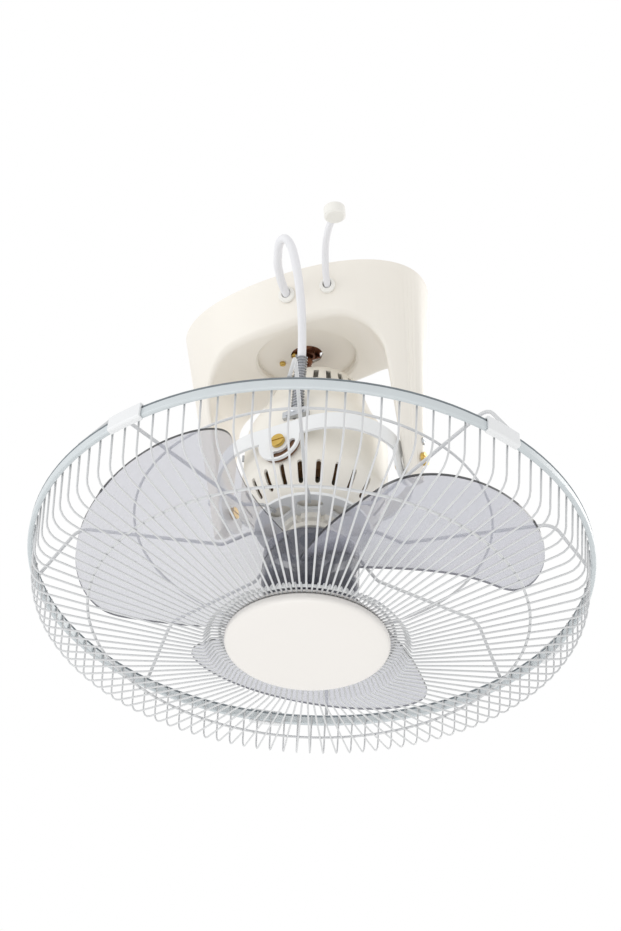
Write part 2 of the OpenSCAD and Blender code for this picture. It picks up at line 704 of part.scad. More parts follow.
module front_rim() {
  color([0.84, 0.85, 0.87]) head() rim_band(-rim_drop - 4.9, -rim_drop + 3 - seat);
}

face_slope = 0.1896;
face_r = cap_d / 2 + 16.5;
face_u = -(rim_drop + 67.4);
lip_r = face_r - 5.6;
lip_u = face_u + 8.2;
wire_end = cap_d / 2 - 9;
side_r = rim_in - wire_r - seat;
side_lean = 0.0939;
function corner_d() = let (d0 = rim_drop - 2.6, df = -face_u)
  (df - (side_r + side_lean * d0 - face_r) * face_slope) / (1 - side_lean * face_slope);
function wire_path() = let (d = corner_d()) rounded([[side_r, -(rim_drop - 2.6)],
  [side_r - side_lean * (d - rim_drop + 2.6), -d], [face_r, face_u], [lip_r, lip_u], [wire_end, lip_u]],
  [0, 15, 0, 0, 0], 4);
module front_wires() {
  color([0.93, 0.94, 0.95]) head() for (k = [0:wire_count - 1])
    rotate([0, 0, -64 + 360 * k / wire_count]) strip(wire_path(), wire_d * 0.95);
}

module front_rings() {
  x = 174.3 * rim_r / 229;
  u = face_u + (x - face_r) * face_slope + (wire_r + 1.1) * 1.018 + seat;
  color([0.93, 0.94, 0.95]) head() {
    translate([0, 0, u]) rotate_extrude($fn = 128) translate([x, 0]) circle(r = 1.1, $fn = 24);
    translate([0, 0, lip_u + wire_r + 1.2 + seat]) rotate_extrude() translate([lip_r - 7, 0]) circle(r = 1.2, $fn = 24);
  }
}

cap_r = cap_d / 2;
module centre_cap() {
  u = lip_u - wire_r - seat;
  color([0.95, 0.92, 0.85]) head() difference() {
    union() {
      lathe([[cap_r - 1.4, u], [cap_r, u - 1.6], [cap_r, u - 4.4], [cap_r - 0.8, u - 6.2],
        [cap_r - 3, u - 7.6], [cap_r - 9, u - 8.9], [cap_r - 20, u - 9.9], [30, u - 10.4],
        [0, u - 10.8], [0, u - 8.6], [30, u - 8.2], [cap_r - 20, u - 7.7], [cap_r - 9, u - 6.7],
        [cap_r - 3.4, u - 5.2], [cap_r - 2.6, u - 3.6], [cap_r - 3, u]]);
      translate([0, 0, u - 9.4]) cylinder(h = 9.4 + 2, r = 6);
    }
    translate([0, 0, u - 6]) cylinder(h = 12, r = 1.6 + seat);
  }
}

module cap_retainer() {
  u = lip_u + wire_r + seat;
  color([0.93, 0.9, 0.83]) head() difference() {
    union() {
      translate([0, 0, u]) cylinder(h = 2, r = wire_end + 7);
      translate([0, 0, u - 1]) cylinder(h = 1.4, r = wire_end - 2);
    }
    translate([0, 0, u - 4]) cylinder(h = 4.4, r = 6 + seat);
    translate([0, 0, u - 4]) cylinder(h = 12, r = 1.6 + seat);
  }
}

module cap_screw() {
  u = lip_u + wire_r + seat + 2;
  color([0.75, 0.75, 0.76]) head() difference() {
    union() {
      translate([0, 0, u - 8]) cylinder(h = 8, r = 1.6);
      translate([0, 0, u]) cylinder(h = 2.2, r = 3.2);
    }
    translate([-4, -0.4, u + 1.3]) cube([8, 0.8, 2]);
  }
}

clip_az = [-27, -99, 50, 127];
module guard_clips() {
  r = rim_r + 0.1;
  lo = -rim_drop - 4.9;
  hi = -rim_drop + 4.9;
  color([0.93, 0.88, 0.77]) head() for (a = clip_az) rotate([0, 0, a - 3.75]) rotate_extrude(angle = 7.5)
    polygon([[r - 3.2, lo - 0.1], [r, lo - 0.1], [r, hi + 0.1], [r - 3, hi + 0.1], [r - 3, hi + 1.9],
      [r + 1, hi + 1.9], [r + 2.2, hi + 0.8], [r + 2.2, lo - 0.8], [r + 1, lo - 1.9], [r - 3.2, lo - 1.9]]);
}

// Rotor and blades

module rotor_shaft() {
  color([0.74, 0.75, 0.77]) head() difference() {
    union() {
      translate([0, 0, -118]) cylinder(h = 118 + gear_u - 7, r = shaft_r);
      translate([0, 0, gear_u]) rotate([0, 0, 90]) worm(5.9, 3.9, 5.585, 12);
      translate([0, 0, gear_u + 6]) cylinder(h = 5, r = 3.2);
      translate([0, 0, gear_u - 12]) cylinder(h = 20, r = 3.4);
    }
    rod([-30, 0, -84], [30, 0, -84], 1.5 + seat);
  }
}

module rotor_core() {
  color([0.55, 0.55, 0.57]) head() difference() {
    union() {
      translate([0, 0, -4]) cylinder(h = 32, r = 27.8);
      translate([0, 0, -8]) cylinder(h = 40, r = 24);
    }
    translate([0, 0, -10]) cylinder(h = 44, r = shaft_r + seat);
    for (k = [0:8]) rotate([0, 0, 40 * k]) translate([16, 0, -10]) cylinder(h = 44, r = 2.6);
  }
}

module blade_hub() {
  color([0.36, 0.36, 0.42, 0.75]) head() difference() {
    union() {
      lathe([[hub_r, -72], [hub_r, -101], [hub_r - 0.8, -104], [hub_r - 3, -107], [hub_r - 5, -108],
        [7, -108], [7, -105.5], [hub_r - 5.6, -105.5], [hub_r - 3.4, -103.4], [hub_r - 2.5, -100], [hub_r - 2.5, -72]]);
      translate([0, 0, -108]) cylinder(h = 32, r = 9);
      for (k = [0:11]) rotate([0, 0, 30 * k]) translate([8, -0.8, -106]) cube([hub_r - 10, 1.6, 12]);
    }
    translate([0, 0, -110]) cylinder(h = 40, r = shaft_r + seat);
    rod([-8.4, 0, -84], [8.4, 0, -84], 1.5 + seat);
    translate([0, 0, -100]) difference() {
      translate([0, 0, -9]) cylinder(h = 1.6, r = 30);
      translate([0, 0, -10]) cylinder(h = 4, r = 14);
    }
  }
}

// blade skin: chord angle runs from the front edge to the rear edge
blade_front = -118;
blade_rear = -73;
nr = 15;
ns = 10;
function tip_fade(r) = let (q = max(0, (r - tip_r + 41) / 41)) pow(max(0, 1 - q * q * q), 1 / 3);
function lead_az(r) = -(36 + 34 * pow(max(0, (tip_r - r) / (tip_r - hub_r)), 1.6)) * tip_fade(r);
function trail_az(r) = (33 + 8 * pow((r - 75) / 90, 2)) * tip_fade(r);
function blade_pt(i, j, side) = let (
  q = i / nr, r = hub_r - 1.5 + (tip_r - 0.3 - hub_r + 1.5) * (1 - pow(1 - q, 1.6)),
  s = j / ns, az = -5 + lead_az(r) + (trail_az(r) - lead_az(r)) * s,
  f = blade_front + 14 * pow(max(0, 1 - (r - hub_r) / 50), 2),
  u = f + (blade_rear - f) * (s + 0.09 * sin(180 * s)))
  [r * cos(az), r * sin(az), u + side * blade_t / 2];
module blade(az) {
  m = ns + 1;
  pts = concat([for (i = [0:nr]) for (j = [0:ns]) blade_pt(i, j, 1)],
    [for (i = [0:nr]) for (j = [0:ns]) blade_pt(i, j, -1)]);
  o = (nr + 1) * m;
  skin_faces = [for (i = [0:nr - 1]) for (j = [0:ns - 1])
    let (a = i * m + j, b = a + 1, c = a + m, d = c + 1)
    for (f = [[a, b, c], [b, d, c], [o + a, o + c, o + b], [o + b, o + c, o + d]]) f];
  chord_faces = [for (j = [0:ns - 1]) let (c = nr * m + j)
    for (f = [[j, o + j, j + 1], [j + 1, o + j, o + j + 1], [c, c + 1, o + c], [c + 1, o + c + 1, o + c]]) f];
  edge_faces = [for (i = [0:nr - 1]) let (a = i * m, c = a + m, b = a + ns, d = b + m)
    for (f = [[a, c, o + a], [c, o + c, o + a], [b, o + b, d], [d, o + b, o + d]]) f];
  head() rotate([0, 0, az]) difference() {
    polyhedron(points = pts, faces = concat(skin_faces, chord_faces, edge_faces), convexity = 6);
    translate([0, 0, -130]) cylinder(h = 70, r = hub_r + seat);
  }
}

module blade_a() {
  color([0.7, 0.7, 0.76, 0.5]) blade(-5);
}
module blade_b() {
  color([0.7, 0.7, 0.76, 0.5]) blade(115);
}
module blade_c() {
  color([0.7, 0.7, 0.76, 0.5]) blade(235);
}

module drive_pin() {
  color([0.74, 0.75, 0.77]) head() rod([-8.2, 0, -84], [8.2, 0, -84], 1.5);
}

module spinner_nut() {
  color([0.25, 0.25, 0.3]) head() difference() {
    union() {
      translate([0, 0, -112]) cylinder(h = 4 - seat, r = 12.5);
      translate([0, 0, -120]) cylinder(h = 8.5, r1 = 7, r2 = 10.5);
      for (k = [0:3]) rotate([0, 0, 90 * k]) translate([6, -1.5, -118]) cube([6.4, 3, 8]);
    }
    translate([0, 0, -118 - seat]) cylinder(h = 12, r = shaft_r + seat);
  }
}

// Gear train to the crank

module cross_shaft() {
  color([0.74, 0.75, 0.77]) head() translate([0, 13, gear_u]) {
    xcyl(-24, 30, 2.5);
    translate([18, 0, 0]) rotate([0, 90, 0]) rotate([0, 0, 90]) worm(5.9, 3.9, 6.283, 11);
    xcyl(-19.7, -17, 4);
    xcyl(24.3, 25.7, 4);
  }
}

module cross_wheel() {
  color([0.88, 0.84, 0.72]) head() translate([0, 13, gear_u]) rotate([0, 90, 0]) difference() {
    union() {
      rotate([0, 0, -1.273 * 2.5]) linear_extrude(height = 5, center = true, twist = -1.273 * 5, slices = 3)
        teeth(8, 18, 0.8, 1.1, 1.5, 0.6);
      translate([0, 0, -6]) cylinder(h = 12, r = 5);
    }
    cylinder(h = 20, r = 2.5 + seat, center = true);
  }
}

module idler_shaft() {
  color([0.74, 0.75, 0.77]) head() translate([18, 0, 0]) {
    translate([0, 0, 42 + seat]) cylinder(h = 44, r = 2);
    translate([0, 0, 48 + run_gap]) cylinder(h = 2, r = 3.4);
    translate([0, 0, 81.2]) cylinder(h = 2.5, r = 3.4);
  }
}

module idler_wheel() {
  color([0.88, 0.84, 0.72]) head() translate([18, 0, 0]) difference() {
    union() {
      translate([0, 0, gear_u]) rotate([0, 0, 11.25 - 1.432 * 2.5])
        linear_extrude(height = 5, center = true, twist = -1.432 * 5, slices = 3)
          teeth(8, 16, 0.8, 1.1, 1.6, 0.7);
      translate([0, 0, 72]) linear_extrude(height = 6) teeth(6, 16, 0.6, 0.85, 1.1, 0.5);
      translate([0, 0, 51]) cylinder(h = 22, r = 4);
    }
    translate([0, 0, 40]) cylinder(h = 50, r = 2 + seat);
  }
}

module crank_gear() {
  color([0.88, 0.84, 0.72]) head() difference() {
    union() {
      translate([0, 0, 72.4]) linear_extrude(height = 5.2) rotate(5.625) teeth(12, 32, 0.6, 0.85, 1.1, 0.5);
      translate([0, 0, 71]) cylinder(h = 10.4, r = 7);
    }
    translate([0, 0, 60]) cylinder(h = 30, r = shaft_r + seat);
  }
}

module crank_arm() {
  u = top_u + 1.4;
  color([0.62, 0.38, 0.24]) head() {
    translate([0, 0, 71]) cylinder(h = u - 71 + 5, r = shaft_r);
    translate([0, 0, u]) cylinder(h = 6.6, r = 8);
    translate([-6, -crank_r, u]) cube([12, crank_r, 4.6]);
    translate([0, -crank_r, u]) cylinder(h = 4.6, r = 6);
    translate([0, -crank_r, u + 4]) cylinder(h = crank_u - u - 4, r = 2.8);
    translate([0, -crank_r, crank_u]) sphere(r = ball_r);
  }
}

canopy_shell();
mounting_plate();
yoke_frame();
crank_socket();
socket_screws();
flex_grommet();
supply_grommet();
leg_screws();
swing_bolt_left();
swing_bolt_right();
leg_washers();
terminal_block();
run_capacitor();
supply_cord();
ceiling_fitting();
flex_loop();
gimbal_strap();
motor_front_cover();
motor_rear_cover();
cover_screws();
tilt_screws();
rubber_buffers();
stator_core();
stator_windings();
gear_plate();
gear_bridge();
front_bearing();
flex_spring();
spring_clamp();
clamp_screws();
guard_plate();
guard_nut();
rear_arms();
rear_ring();
rear_rim();
front_rim();
front_wires();
front_rings();
centre_cap();
cap_retainer();
cap_screw();
guard_clips();
rotor_shaft();
rotor_core();
blade_hub();
blade_a();
blade_b();
blade_c();
drive_pin();
spinner_nut();
cross_shaft();
cross_wheel();
idler_shaft();
idler_wheel();
crank_gear();
crank_arm();
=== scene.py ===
"""Ceiling orbit fan: finishes, wires, blades and cords over the CAD frame."""

import math

import bmesh
import bpy
import numpy as np
from mathutils import Matrix, Vector


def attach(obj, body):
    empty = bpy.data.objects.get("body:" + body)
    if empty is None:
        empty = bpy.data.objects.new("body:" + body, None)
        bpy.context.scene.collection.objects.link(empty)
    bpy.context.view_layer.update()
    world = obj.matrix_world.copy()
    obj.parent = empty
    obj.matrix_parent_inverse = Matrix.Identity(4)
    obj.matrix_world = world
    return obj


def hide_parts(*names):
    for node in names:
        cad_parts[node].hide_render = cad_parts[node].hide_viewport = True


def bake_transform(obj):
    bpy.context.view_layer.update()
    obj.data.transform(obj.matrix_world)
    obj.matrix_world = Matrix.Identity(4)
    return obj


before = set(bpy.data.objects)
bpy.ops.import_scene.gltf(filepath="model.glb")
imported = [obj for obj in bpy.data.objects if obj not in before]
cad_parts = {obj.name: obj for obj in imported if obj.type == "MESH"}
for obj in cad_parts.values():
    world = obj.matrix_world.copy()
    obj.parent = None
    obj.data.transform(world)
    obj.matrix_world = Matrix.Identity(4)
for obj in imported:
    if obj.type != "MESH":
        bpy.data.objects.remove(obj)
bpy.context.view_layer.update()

MM = 0.001
TILT = math.radians(11.5)
PIVOT_DROP = 183.0
RIM_DROP = 93.6
HUB_RADIUS = 40.0
BLADE_TIP = 191.0


def leant(points):
    """Head points in mm (axis along the third number) to the row frame in metres:
    x, y cos t + u sin t, -183 - y sin t + u cos t, with t the cone angle."""
    x, y, u = np.moveaxis(np.asarray(points, float), -1, 0)
    c, s = math.cos(TILT), math.sin(TILT)
    return np.stack([x, y * c + u * s, -PIVOT_DROP - y * s + u * c], -1) * MM


SWING_CENTRE = leant([0.0, 0.0, 0.0])


def unit(v):
    """v / |v| along the last axis."""
    v = np.asarray(v, float)
    return v / np.linalg.norm(v, axis=-1, keepdims=True)


def tangents(path):
    """Central differences of the path, one-sided at its ends."""
    return unit(np.gradient(np.asarray(path, float), axis=-2))


def through(points, steps):
    """Catmull-Rom curve: p(t) = 1/2 [2b + (c-a)t + (2a-5b+4c-d)t^2 + (3b-a-3c+d)t^3],
    with steps pieces from each point to the next."""
    p = np.asarray(points, float)
    p = np.vstack([2 * p[0] - p[1], p, 2 * p[-1] - p[-2]])
    a, b, c, d = (p[i : len(p) - 3 + i, None, :] for i in range(4))
    t = np.linspace(0, 1, steps, endpoint=False)[None, :, None]
    square, cube = 2 * a - 5 * b + 4 * c - d, 3 * b - a - 3 * c + d
    curve = 0.5 * (2 * b + (c - a) * t + square * t**2 + cube * t**3)
    return np.vstack([curve.reshape(-1, 3), p[-2]])


def rounded(corners, radii, steps):
    """Flat path whose corner i is an arc of radii[i], with steps pieces in the arc."""
    q = np.asarray(corners, float)
    out = []
    for i, r in enumerate(radii):
        if r == 0:
            out.append(q[i : i + 1])
            continue
        v, f = unit(q[i] - q[i - 1]), unit(q[i + 1] - q[i])
        turn = math.acos(float(v @ f))
        side = math.copysign(1.0, v[0] * f[1] - v[1] * f[0])
        start = q[i] - v * r * math.tan(turn / 2)
        centre = start + side * r * np.array([-v[1], v[0]])
        first = math.atan2(start[1] - centre[1], start[0] - centre[0])
        e = first + side * turn * np.linspace(0, 1, steps + 1)
        out.append(centre + r * np.stack([np.cos(e), np.sin(e)], 1))
    return np.vstack(out)


def link(name, data):
    """New object that holds the data, in the scene."""
    made = bpy.data.objects.new(name, data)
    bpy.context.scene.collection.objects.link(made)
    return made


def add_piece(name, points, faces, slot):
    """New smooth mesh piece from row-frame points in metres, in the slot's finish."""
    mesh = bpy.data.meshes.new(name)
    mesh.from_pydata(np.asarray(points).reshape(-1, 3).tolist(), [], faces)
    mesh.polygons.foreach_set("use_smooth", [True] * len(mesh.polygons))
    mesh.update()
    piece = link(name, mesh)
    mesh.materials.append(FINISH[slot])
    return piece


def thicken(piece, thickness):
    """Wall of the thickness in metres, half to each side of the piece's surface."""
    wall = piece.modifiers.new("thick", "SOLIDIFY")
    wall.thickness = thickness
    wall.offset = 0.0
    return wall


def soften(piece, width, segments, degrees):
    """Rounds of the width in metres on edges that turn by more than the degrees."""
    edge = piece.modifiers.new("edge", "BEVEL")
    edge.width = width
    edge.segments = segments
    edge.limit_method = "ANGLE"
    edge.angle_limit = math.radians(degrees)
    return edge


def grid_faces(rows, columns, wrap):
    """Quads of a rows by columns grid, joined round the columns when wrap is true."""
    i = np.arange(rows - 1)[:, None]
    j = np.arange(columns if wrap else columns - 1)[None, :]
    k = (j + 1) % columns
    corners = [i * columns + j, i * columns + k, (i + 1) * columns + k, (i + 1) * columns + j]
    return np.stack(corners, -1).reshape(-1, 4)


def tubes(name, paths, across, radius, sides, slot, along=None, closed=(True, True)):
    """Round tubes: ring point = path + radius (cos a n + sin a t x n), n = across made square
    to t. paths is tubes by rings by 3 in metres, along the tangents if they are known."""
    t = tangents(paths) if along is None else along
    n = unit(across - (across * t).sum(-1, keepdims=True) * t)
    b = np.cross(t, n)
    a = np.linspace(0, 2 * math.pi, sides, endpoint=False)
    ring = np.cos(a)[:, None] * n[:, :, None, :] + np.sin(a)[:, None] * b[:, :, None, :]
    points = paths[:, :, None, :] + radius * ring
    count, rings = paths.shape[:2]
    start = rings * sides * np.arange(count)[:, None]
    quads = (grid_faces(rings, sides, True)[None] + start[..., None]).reshape(-1, 4)
    first = np.arange(sides)[::-1][None] + start
    last = (rings - 1) * sides + np.arange(sides)[None] + start
    ends = first.tolist() * closed[0] + last.tolist() * closed[1]
    piece = add_piece(name, points, quads.tolist() + ends, slot)
    piece.data.polygons.foreach_set("use_smooth", [True] * len(quads) + [False] * len(ends))
    return piece


def meridian(flat, azimuths):
    """Flat (radius, u) path copied to each azimuth in degrees, with each one's direction
    sideways."""
    az = np.radians(np.asarray(azimuths, float))[:, None]
    r, u = flat[None, :, 0], flat[None, :, 1]
    head = np.stack([r * np.cos(az), r * np.sin(az), u + 0 * az], -1)
    side = np.stack([-np.sin(az), np.cos(az), 0 * az], -1)
    return leant(head), unit(leant(side) - SWING_CENTRE)


# Camera

CAMERA_AT = (0.4157, -0.9143, -0.7498)
YAW, PITCH, ROLL = (math.radians(v) for v in (24.59, 30.51, 3.26))
LENS, SENSOR = 51.73, 36.0

turn = Matrix.Rotation(YAW, 3, "Z") @ Matrix.Rotation(PITCH, 3, "X")
right, ahead, up = (turn @ Matrix.Rotation(ROLL, 3, "Y")).col
camera_data = bpy.data.cameras.new("camera")
camera_data.lens = LENS
camera_data.sensor_width = SENSOR
camera = link("camera", camera_data)
facing = Matrix((right, up, -ahead)).transposed().to_4x4()
camera.matrix_world = Matrix.Translation(CAMERA_AT) @ facing
bpy.context.scene.camera = camera


# Finishes


def srgb(*color):
    """Screen colour to the linear one that a node takes, by the sRGB formula."""
    linear = (v / 12.92 if v <= 0.04045 else ((v + 0.055) / 1.055) ** 2.4 for v in color)
    return (*linear, 1.0)


def new_group(name, inputs, outputs):
    """Empty shader group with the named sockets."""
    tree = bpy.data.node_groups.new(name, "ShaderNodeTree")
    for label, kind in inputs:
        tree.interface.new_socket(name=label, in_out="INPUT", socket_type=kind)
    for label, kind in outputs:
        tree.interface.new_socket(name=label, in_out="OUTPUT", socket_type=kind)
    return tree, tree.nodes.new("NodeGroupInput"), tree.nodes.new("NodeGroupOutput")


FLOAT, COLOR = "NodeSocketFloat", "NodeSocketColor"


def noise(tree, vector, scale, detail, roughness=0.5):
    """Noise factor at the vector; scale is a number or a socket."""
    node = tree.nodes.new("ShaderNodeTexNoise")
    node.inputs["Detail"].default_value = detail
    node.inputs["Roughness"].default_value = roughness
    tree.links.new(vector, node.inputs["Vector"])
    if isinstance(scale, (int, float)):
        node.inputs["Scale"].default_value = scale
    else:
        tree.links.new(scale, node.inputs["Scale"])
    return node.outputs["Fac"]


def maths(tree, kind, first, second, third=None):
    """Result of a math node on numbers or sockets."""
    node = tree.nodes.new("ShaderNodeMath")
    node.operation = kind
    for i, value in enumerate((first, second, third)):
        if value is None:
            continue
        if isinstance(value, (int, float)):
            node.inputs[i].default_value = value
        else:
            tree.links.new(value, node.inputs[i])
    return node.outputs[0]


MIX_FACTOR, MIX_FIRST, MIX_SECOND, MIX_RESULT = 0, 6, 7, 2


def blended(tree, factor, first, second):
    """Colour between the first and second by the factor, all sockets."""
    node = tree.nodes.new("ShaderNodeMix")
    node.data_type = "RGBA"
    tree.links.new(factor, node.inputs[MIX_FACTOR])
    tree.links.new(first, node.inputs[MIX_FIRST])
    tree.links.new(second, node.inputs[MIX_SECOND])
    return node.outputs[MIX_RESULT]


SKIN_INPUTS = [
    ("Color", COLOR), ("Shade", COLOR), ("Mottle", FLOAT), ("Grain", FLOAT), ("Gloss", FLOAT),
    ("Spread", FLOAT),
]
SKIN_OUTPUTS = [("Color", COLOR), ("Roughness", FLOAT), ("Height", FLOAT)]
# Noise scales, in features per metre
DRIFT, SMEAR, BLOOM, SPECK = 11.0, 38.0, 70.0, 260.0
SPECK_TINT, SPECK_BUMP = 0.2, 0.15
DRAW_STRETCH = 0.06


def finish_group(tree, into, out, tint, uneven, height):
    """Color moves to Shade by tint x Mottle, Roughness is Gloss + (uneven - 1/2) x Spread."""
    amount = maths(tree, "MULTIPLY", tint, into.outputs["Mottle"])
    color = blended(tree, amount, into.outputs["Color"], into.outputs["Shade"])
    tree.links.new(color, out.inputs["Color"])
    uneven = maths(tree, "SUBTRACT", uneven, 0.5)
    rough = maths(tree, "MULTIPLY_ADD", uneven, into.outputs["Spread"], into.outputs["Gloss"])
    tree.links.new(rough, out.inputs["Roughness"])
    tree.links.new(height, out.inputs["Height"])
    return tree


def skin_group():
    """Moulded or painted skin: slow colour drift, faint orange peel and uneven gloss."""
    tree, into, out = new_group("moulded_skin", SKIN_INPUTS, SKIN_OUTPUTS)
    place = tree.nodes.new("ShaderNodeTexCoord").outputs["Object"]
    drift = noise(tree, place, DRIFT, 3.0)
    speck = noise(tree, place, SPECK, 4.0, 0.7)
    peel = noise(tree, place, into.outputs["Grain"], 2.0)
    smear = noise(tree, place, SMEAR, 3.0)
    fine = maths(tree, "MULTIPLY", speck, SPECK_TINT)
    tint = maths(tree, "MULTIPLY_ADD", drift, 1 - SPECK_TINT, fine)
    height = maths(tree, "MULTIPLY_ADD", speck, SPECK_BUMP, peel)
    return finish_group(tree, into, out, tint, smear, height)


def metal_group():
    """Drawn or plated metal: fine lines along the draw, darker bloom and uneven gloss."""
    tree, into, out = new_group("drawn_metal", SKIN_INPUTS, SKIN_OUTPUTS)
    place = tree.nodes.new("ShaderNodeTexCoord").outputs["Object"]
    stretch = tree.nodes.new("ShaderNodeMapping")
    stretch.inputs["Scale"].default_value = (1.0, 1.0, DRAW_STRETCH)
    tree.links.new(place, stretch.inputs["Vector"])
    lines = noise(tree, stretch.outputs["Vector"], into.outputs["Grain"], 3.0)
    bloom = noise(tree, place, BLOOM, 4.0, 0.6)
    uneven = maths(tree, "MULTIPLY_ADD", lines, 0.5, maths(tree, "MULTIPLY", bloom, 0.5))
    return finish_group(tree, into, out, bloom, uneven, lines)


SKIN, METAL = skin_group(), metal_group()
BUMP_DEPTH = 0.0004


def finish(name, group, color, shade, surface_numbers, fixed=None):
    """Principled material fed by one of the groups. surface_numbers are mottle, grain, gloss,
    spread and bump strength; fixed are plain numbers on the shader's sockets."""
    *numbers, bump = surface_numbers
    material = bpy.data.materials.new(name)
    material.use_nodes = True
    tree = material.node_tree
    shader = tree.nodes["Principled BSDF"]
    surface = tree.nodes.new("ShaderNodeGroup")
    surface.node_tree = group
    for (label, _), value in zip(SKIN_INPUTS, (srgb(*color), srgb(*shade), *numbers)):
        surface.inputs[label].default_value = value
    tree.links.new(surface.outputs["Color"], shader.inputs["Base Color"])
    tree.links.new(surface.outputs["Roughness"], shader.inputs["Roughness"])
    bumps = tree.nodes.new("ShaderNodeBump")
    bumps.inputs["Strength"].default_value = bump
    bumps.inputs["Distance"].default_value = BUMP_DEPTH
    tree.links.new(surface.outputs["Height"], bumps.inputs["Height"])
    tree.links.new(bumps.outputs["Normal"], shader.inputs["Normal"])
    for label, value in (fixed or {}).items():
        shader.inputs[label].default_value = value
    material.diffuse_color = srgb(*color)
    return material


GRAZE_BLEND = 0.35


def smoky(name, color, shade, body, edge, gloss):
    """See-through moulding whose cover grows from body, face on, to edge at grazing view."""
    numbers = (0.4, 160.0, gloss, 0.05, 0.008)
    material = finish(name, SKIN, color, shade, numbers, {"IOR": 1.5, "Coat Weight": 0.3})
    tree = material.node_tree
    shader = tree.nodes["Principled BSDF"]
    facing = tree.nodes.new("ShaderNodeLayerWeight")
    facing.inputs["Blend"].default_value = GRAZE_BLEND
    cover = maths(tree, "MULTIPLY_ADD", facing.outputs["Facing"], edge - body, body)
    tree.links.new(cover, shader.inputs["Alpha"])
    return material


# Group, colour, shade, (mottle, grain, gloss, spread, bump), then any sockets set outright
SOLID_FINISH = {
    "canopy_paint": (
        SKIN, (0.955, 0.94, 0.91), (0.945, 0.915, 0.865), (0.6, 700.0, 0.4, 0.12, 0.12),
        {"Coat Weight": 0.12, "Coat Roughness": 0.25},
    ),
    "motor_paint": (
        SKIN, (0.95, 0.935, 0.9), (0.93, 0.905, 0.855), (0.6, 900.0, 0.36, 0.14, 0.16),
        {"Coat Weight": 0.2, "Coat Roughness": 0.2},
    ),
    "cap_plastic": (
        SKIN, (0.925, 0.912, 0.898), (0.912, 0.895, 0.875), (0.5, 800.0, 0.34, 0.1, 0.06),
        {"Coat Weight": 0.15, "Coat Roughness": 0.15},
    ),
    "strap_paint": (
        SKIN, (0.94, 0.945, 0.945), (0.905, 0.91, 0.915), (0.5, 900.0, 0.34, 0.12, 0.1),
        {"Coat Weight": 0.2, "Coat Roughness": 0.2},
    ),
    "wire_coat": (
        SKIN, (0.85, 0.855, 0.86), (0.76, 0.765, 0.77), (0.5, 1500.0, 0.36, 0.1, 0.1),
        {"Coat Weight": 0.15, "Coat Roughness": 0.2},
    ),
    "clip_coat": (
        SKIN, (0.93, 0.935, 0.94), (0.88, 0.885, 0.89), (0.5, 1100.0, 0.36, 0.1, 0.1),
        {"Coat Weight": 0.15, "Coat Roughness": 0.2},
    ),
    "rim_coat": (
        METAL, (0.83, 0.855, 0.865), (0.76, 0.785, 0.8), (0.5, 1200.0, 0.34, 0.12, 0.05),
        {"Metallic": 0.15},
    ),
    # Rear rim coloured dark grey and more metallic: a painted dark sheen line along the rim's
    # edge, beside the front rim's light coat
    "rim_edge": (
        METAL, (0.55, 0.58, 0.6), (0.42, 0.45, 0.47), (0.6, 1200.0, 0.3, 0.15, 0.05),
        {"Metallic": 0.6},
    ),
    "zinc_steel": (
        METAL, (0.8, 0.81, 0.82), (0.66, 0.67, 0.69), (0.7, 900.0, 0.38, 0.2, 0.12),
        {"Metallic": 1.0},
    ),
    "bright_steel": (
        METAL, (0.66, 0.67, 0.69), (0.44, 0.45, 0.47), (0.5, 1200.0, 0.3, 0.14, 0.1),
        {"Metallic": 1.0},
    ),
    "brass_plate": (
        METAL, (0.86, 0.74, 0.42), (0.68, 0.54, 0.24), (0.7, 900.0, 0.3, 0.18, 0.1),
        {"Metallic": 1.0},
    ),
    "copper_plate": (
        METAL, (0.54, 0.36, 0.26), (0.33, 0.2, 0.14), (0.8, 800.0, 0.38, 0.2, 0.12),
        {"Metallic": 0.8},
    ),
    "winding_copper": (
        METAL, (0.68, 0.52, 0.36), (0.5, 0.35, 0.22), (0.8, 2200.0, 0.4, 0.15, 0.5),
        {"Metallic": 0.3},
    ),
    "lamination": (
        METAL, (0.72, 0.69, 0.61), (0.56, 0.53, 0.45), (0.7, 1800.0, 0.5, 0.2, 0.4),
        {"Metallic": 0.3},
    ),
    "cast_alloy": (
        SKIN, (0.66, 0.67, 0.68), (0.5, 0.51, 0.52), (0.7, 600.0, 0.5, 0.2, 0.4),
        {"Metallic": 0.8},
    ),
    "gear_nylon": (SKIN, (0.9, 0.86, 0.76), (0.82, 0.76, 0.64), (0.6, 900.0, 0.5, 0.15, 0.1)),
    "white_plastic": (
        SKIN, (0.955, 0.95, 0.93), (0.9, 0.885, 0.85), (0.5, 900.0, 0.42, 0.12, 0.08),
    ),
    "cord_jacket": (
        SKIN, (0.935, 0.935, 0.945), (0.88, 0.88, 0.895), (0.5, 1300.0, 0.46, 0.12, 0.12),
    ),
    "buffer_rubber": (SKIN, (0.46, 0.32, 0.21), (0.33, 0.21, 0.13), (0.7, 900.0, 0.62, 0.15, 0.3)),
    "dark_plastic": (SKIN, (0.3, 0.3, 0.35), (0.2, 0.2, 0.24), (0.6, 800.0, 0.36, 0.15, 0.12)),
}
# Colour, shade, cover face on and at the edge, gloss
CLEAR_FINISH = {
    "smoke_clear": ((0.4, 0.41, 0.46), (0.28, 0.29, 0.34), 0.46, 0.95, 0.16),
    "blade_clear": ((0.7, 0.705, 0.76), (0.62, 0.625, 0.69), 0.17, 0.7, 0.2),
    # Near-black finish on the blades' rim faces: a painted dark refraction line along each blade's
    # edge
    "blade_painted_dark_rim": ((0.1, 0.1, 0.12), (0.07, 0.07, 0.09), 0.9, 0.97, 0.3),
}
FINISH = {name: finish(name, *row) for name, row in SOLID_FINISH.items()}
FINISH.update({name: smoky(name, *row) for name, row in CLEAR_FINISH.items()})


# Flex loop and supply cord

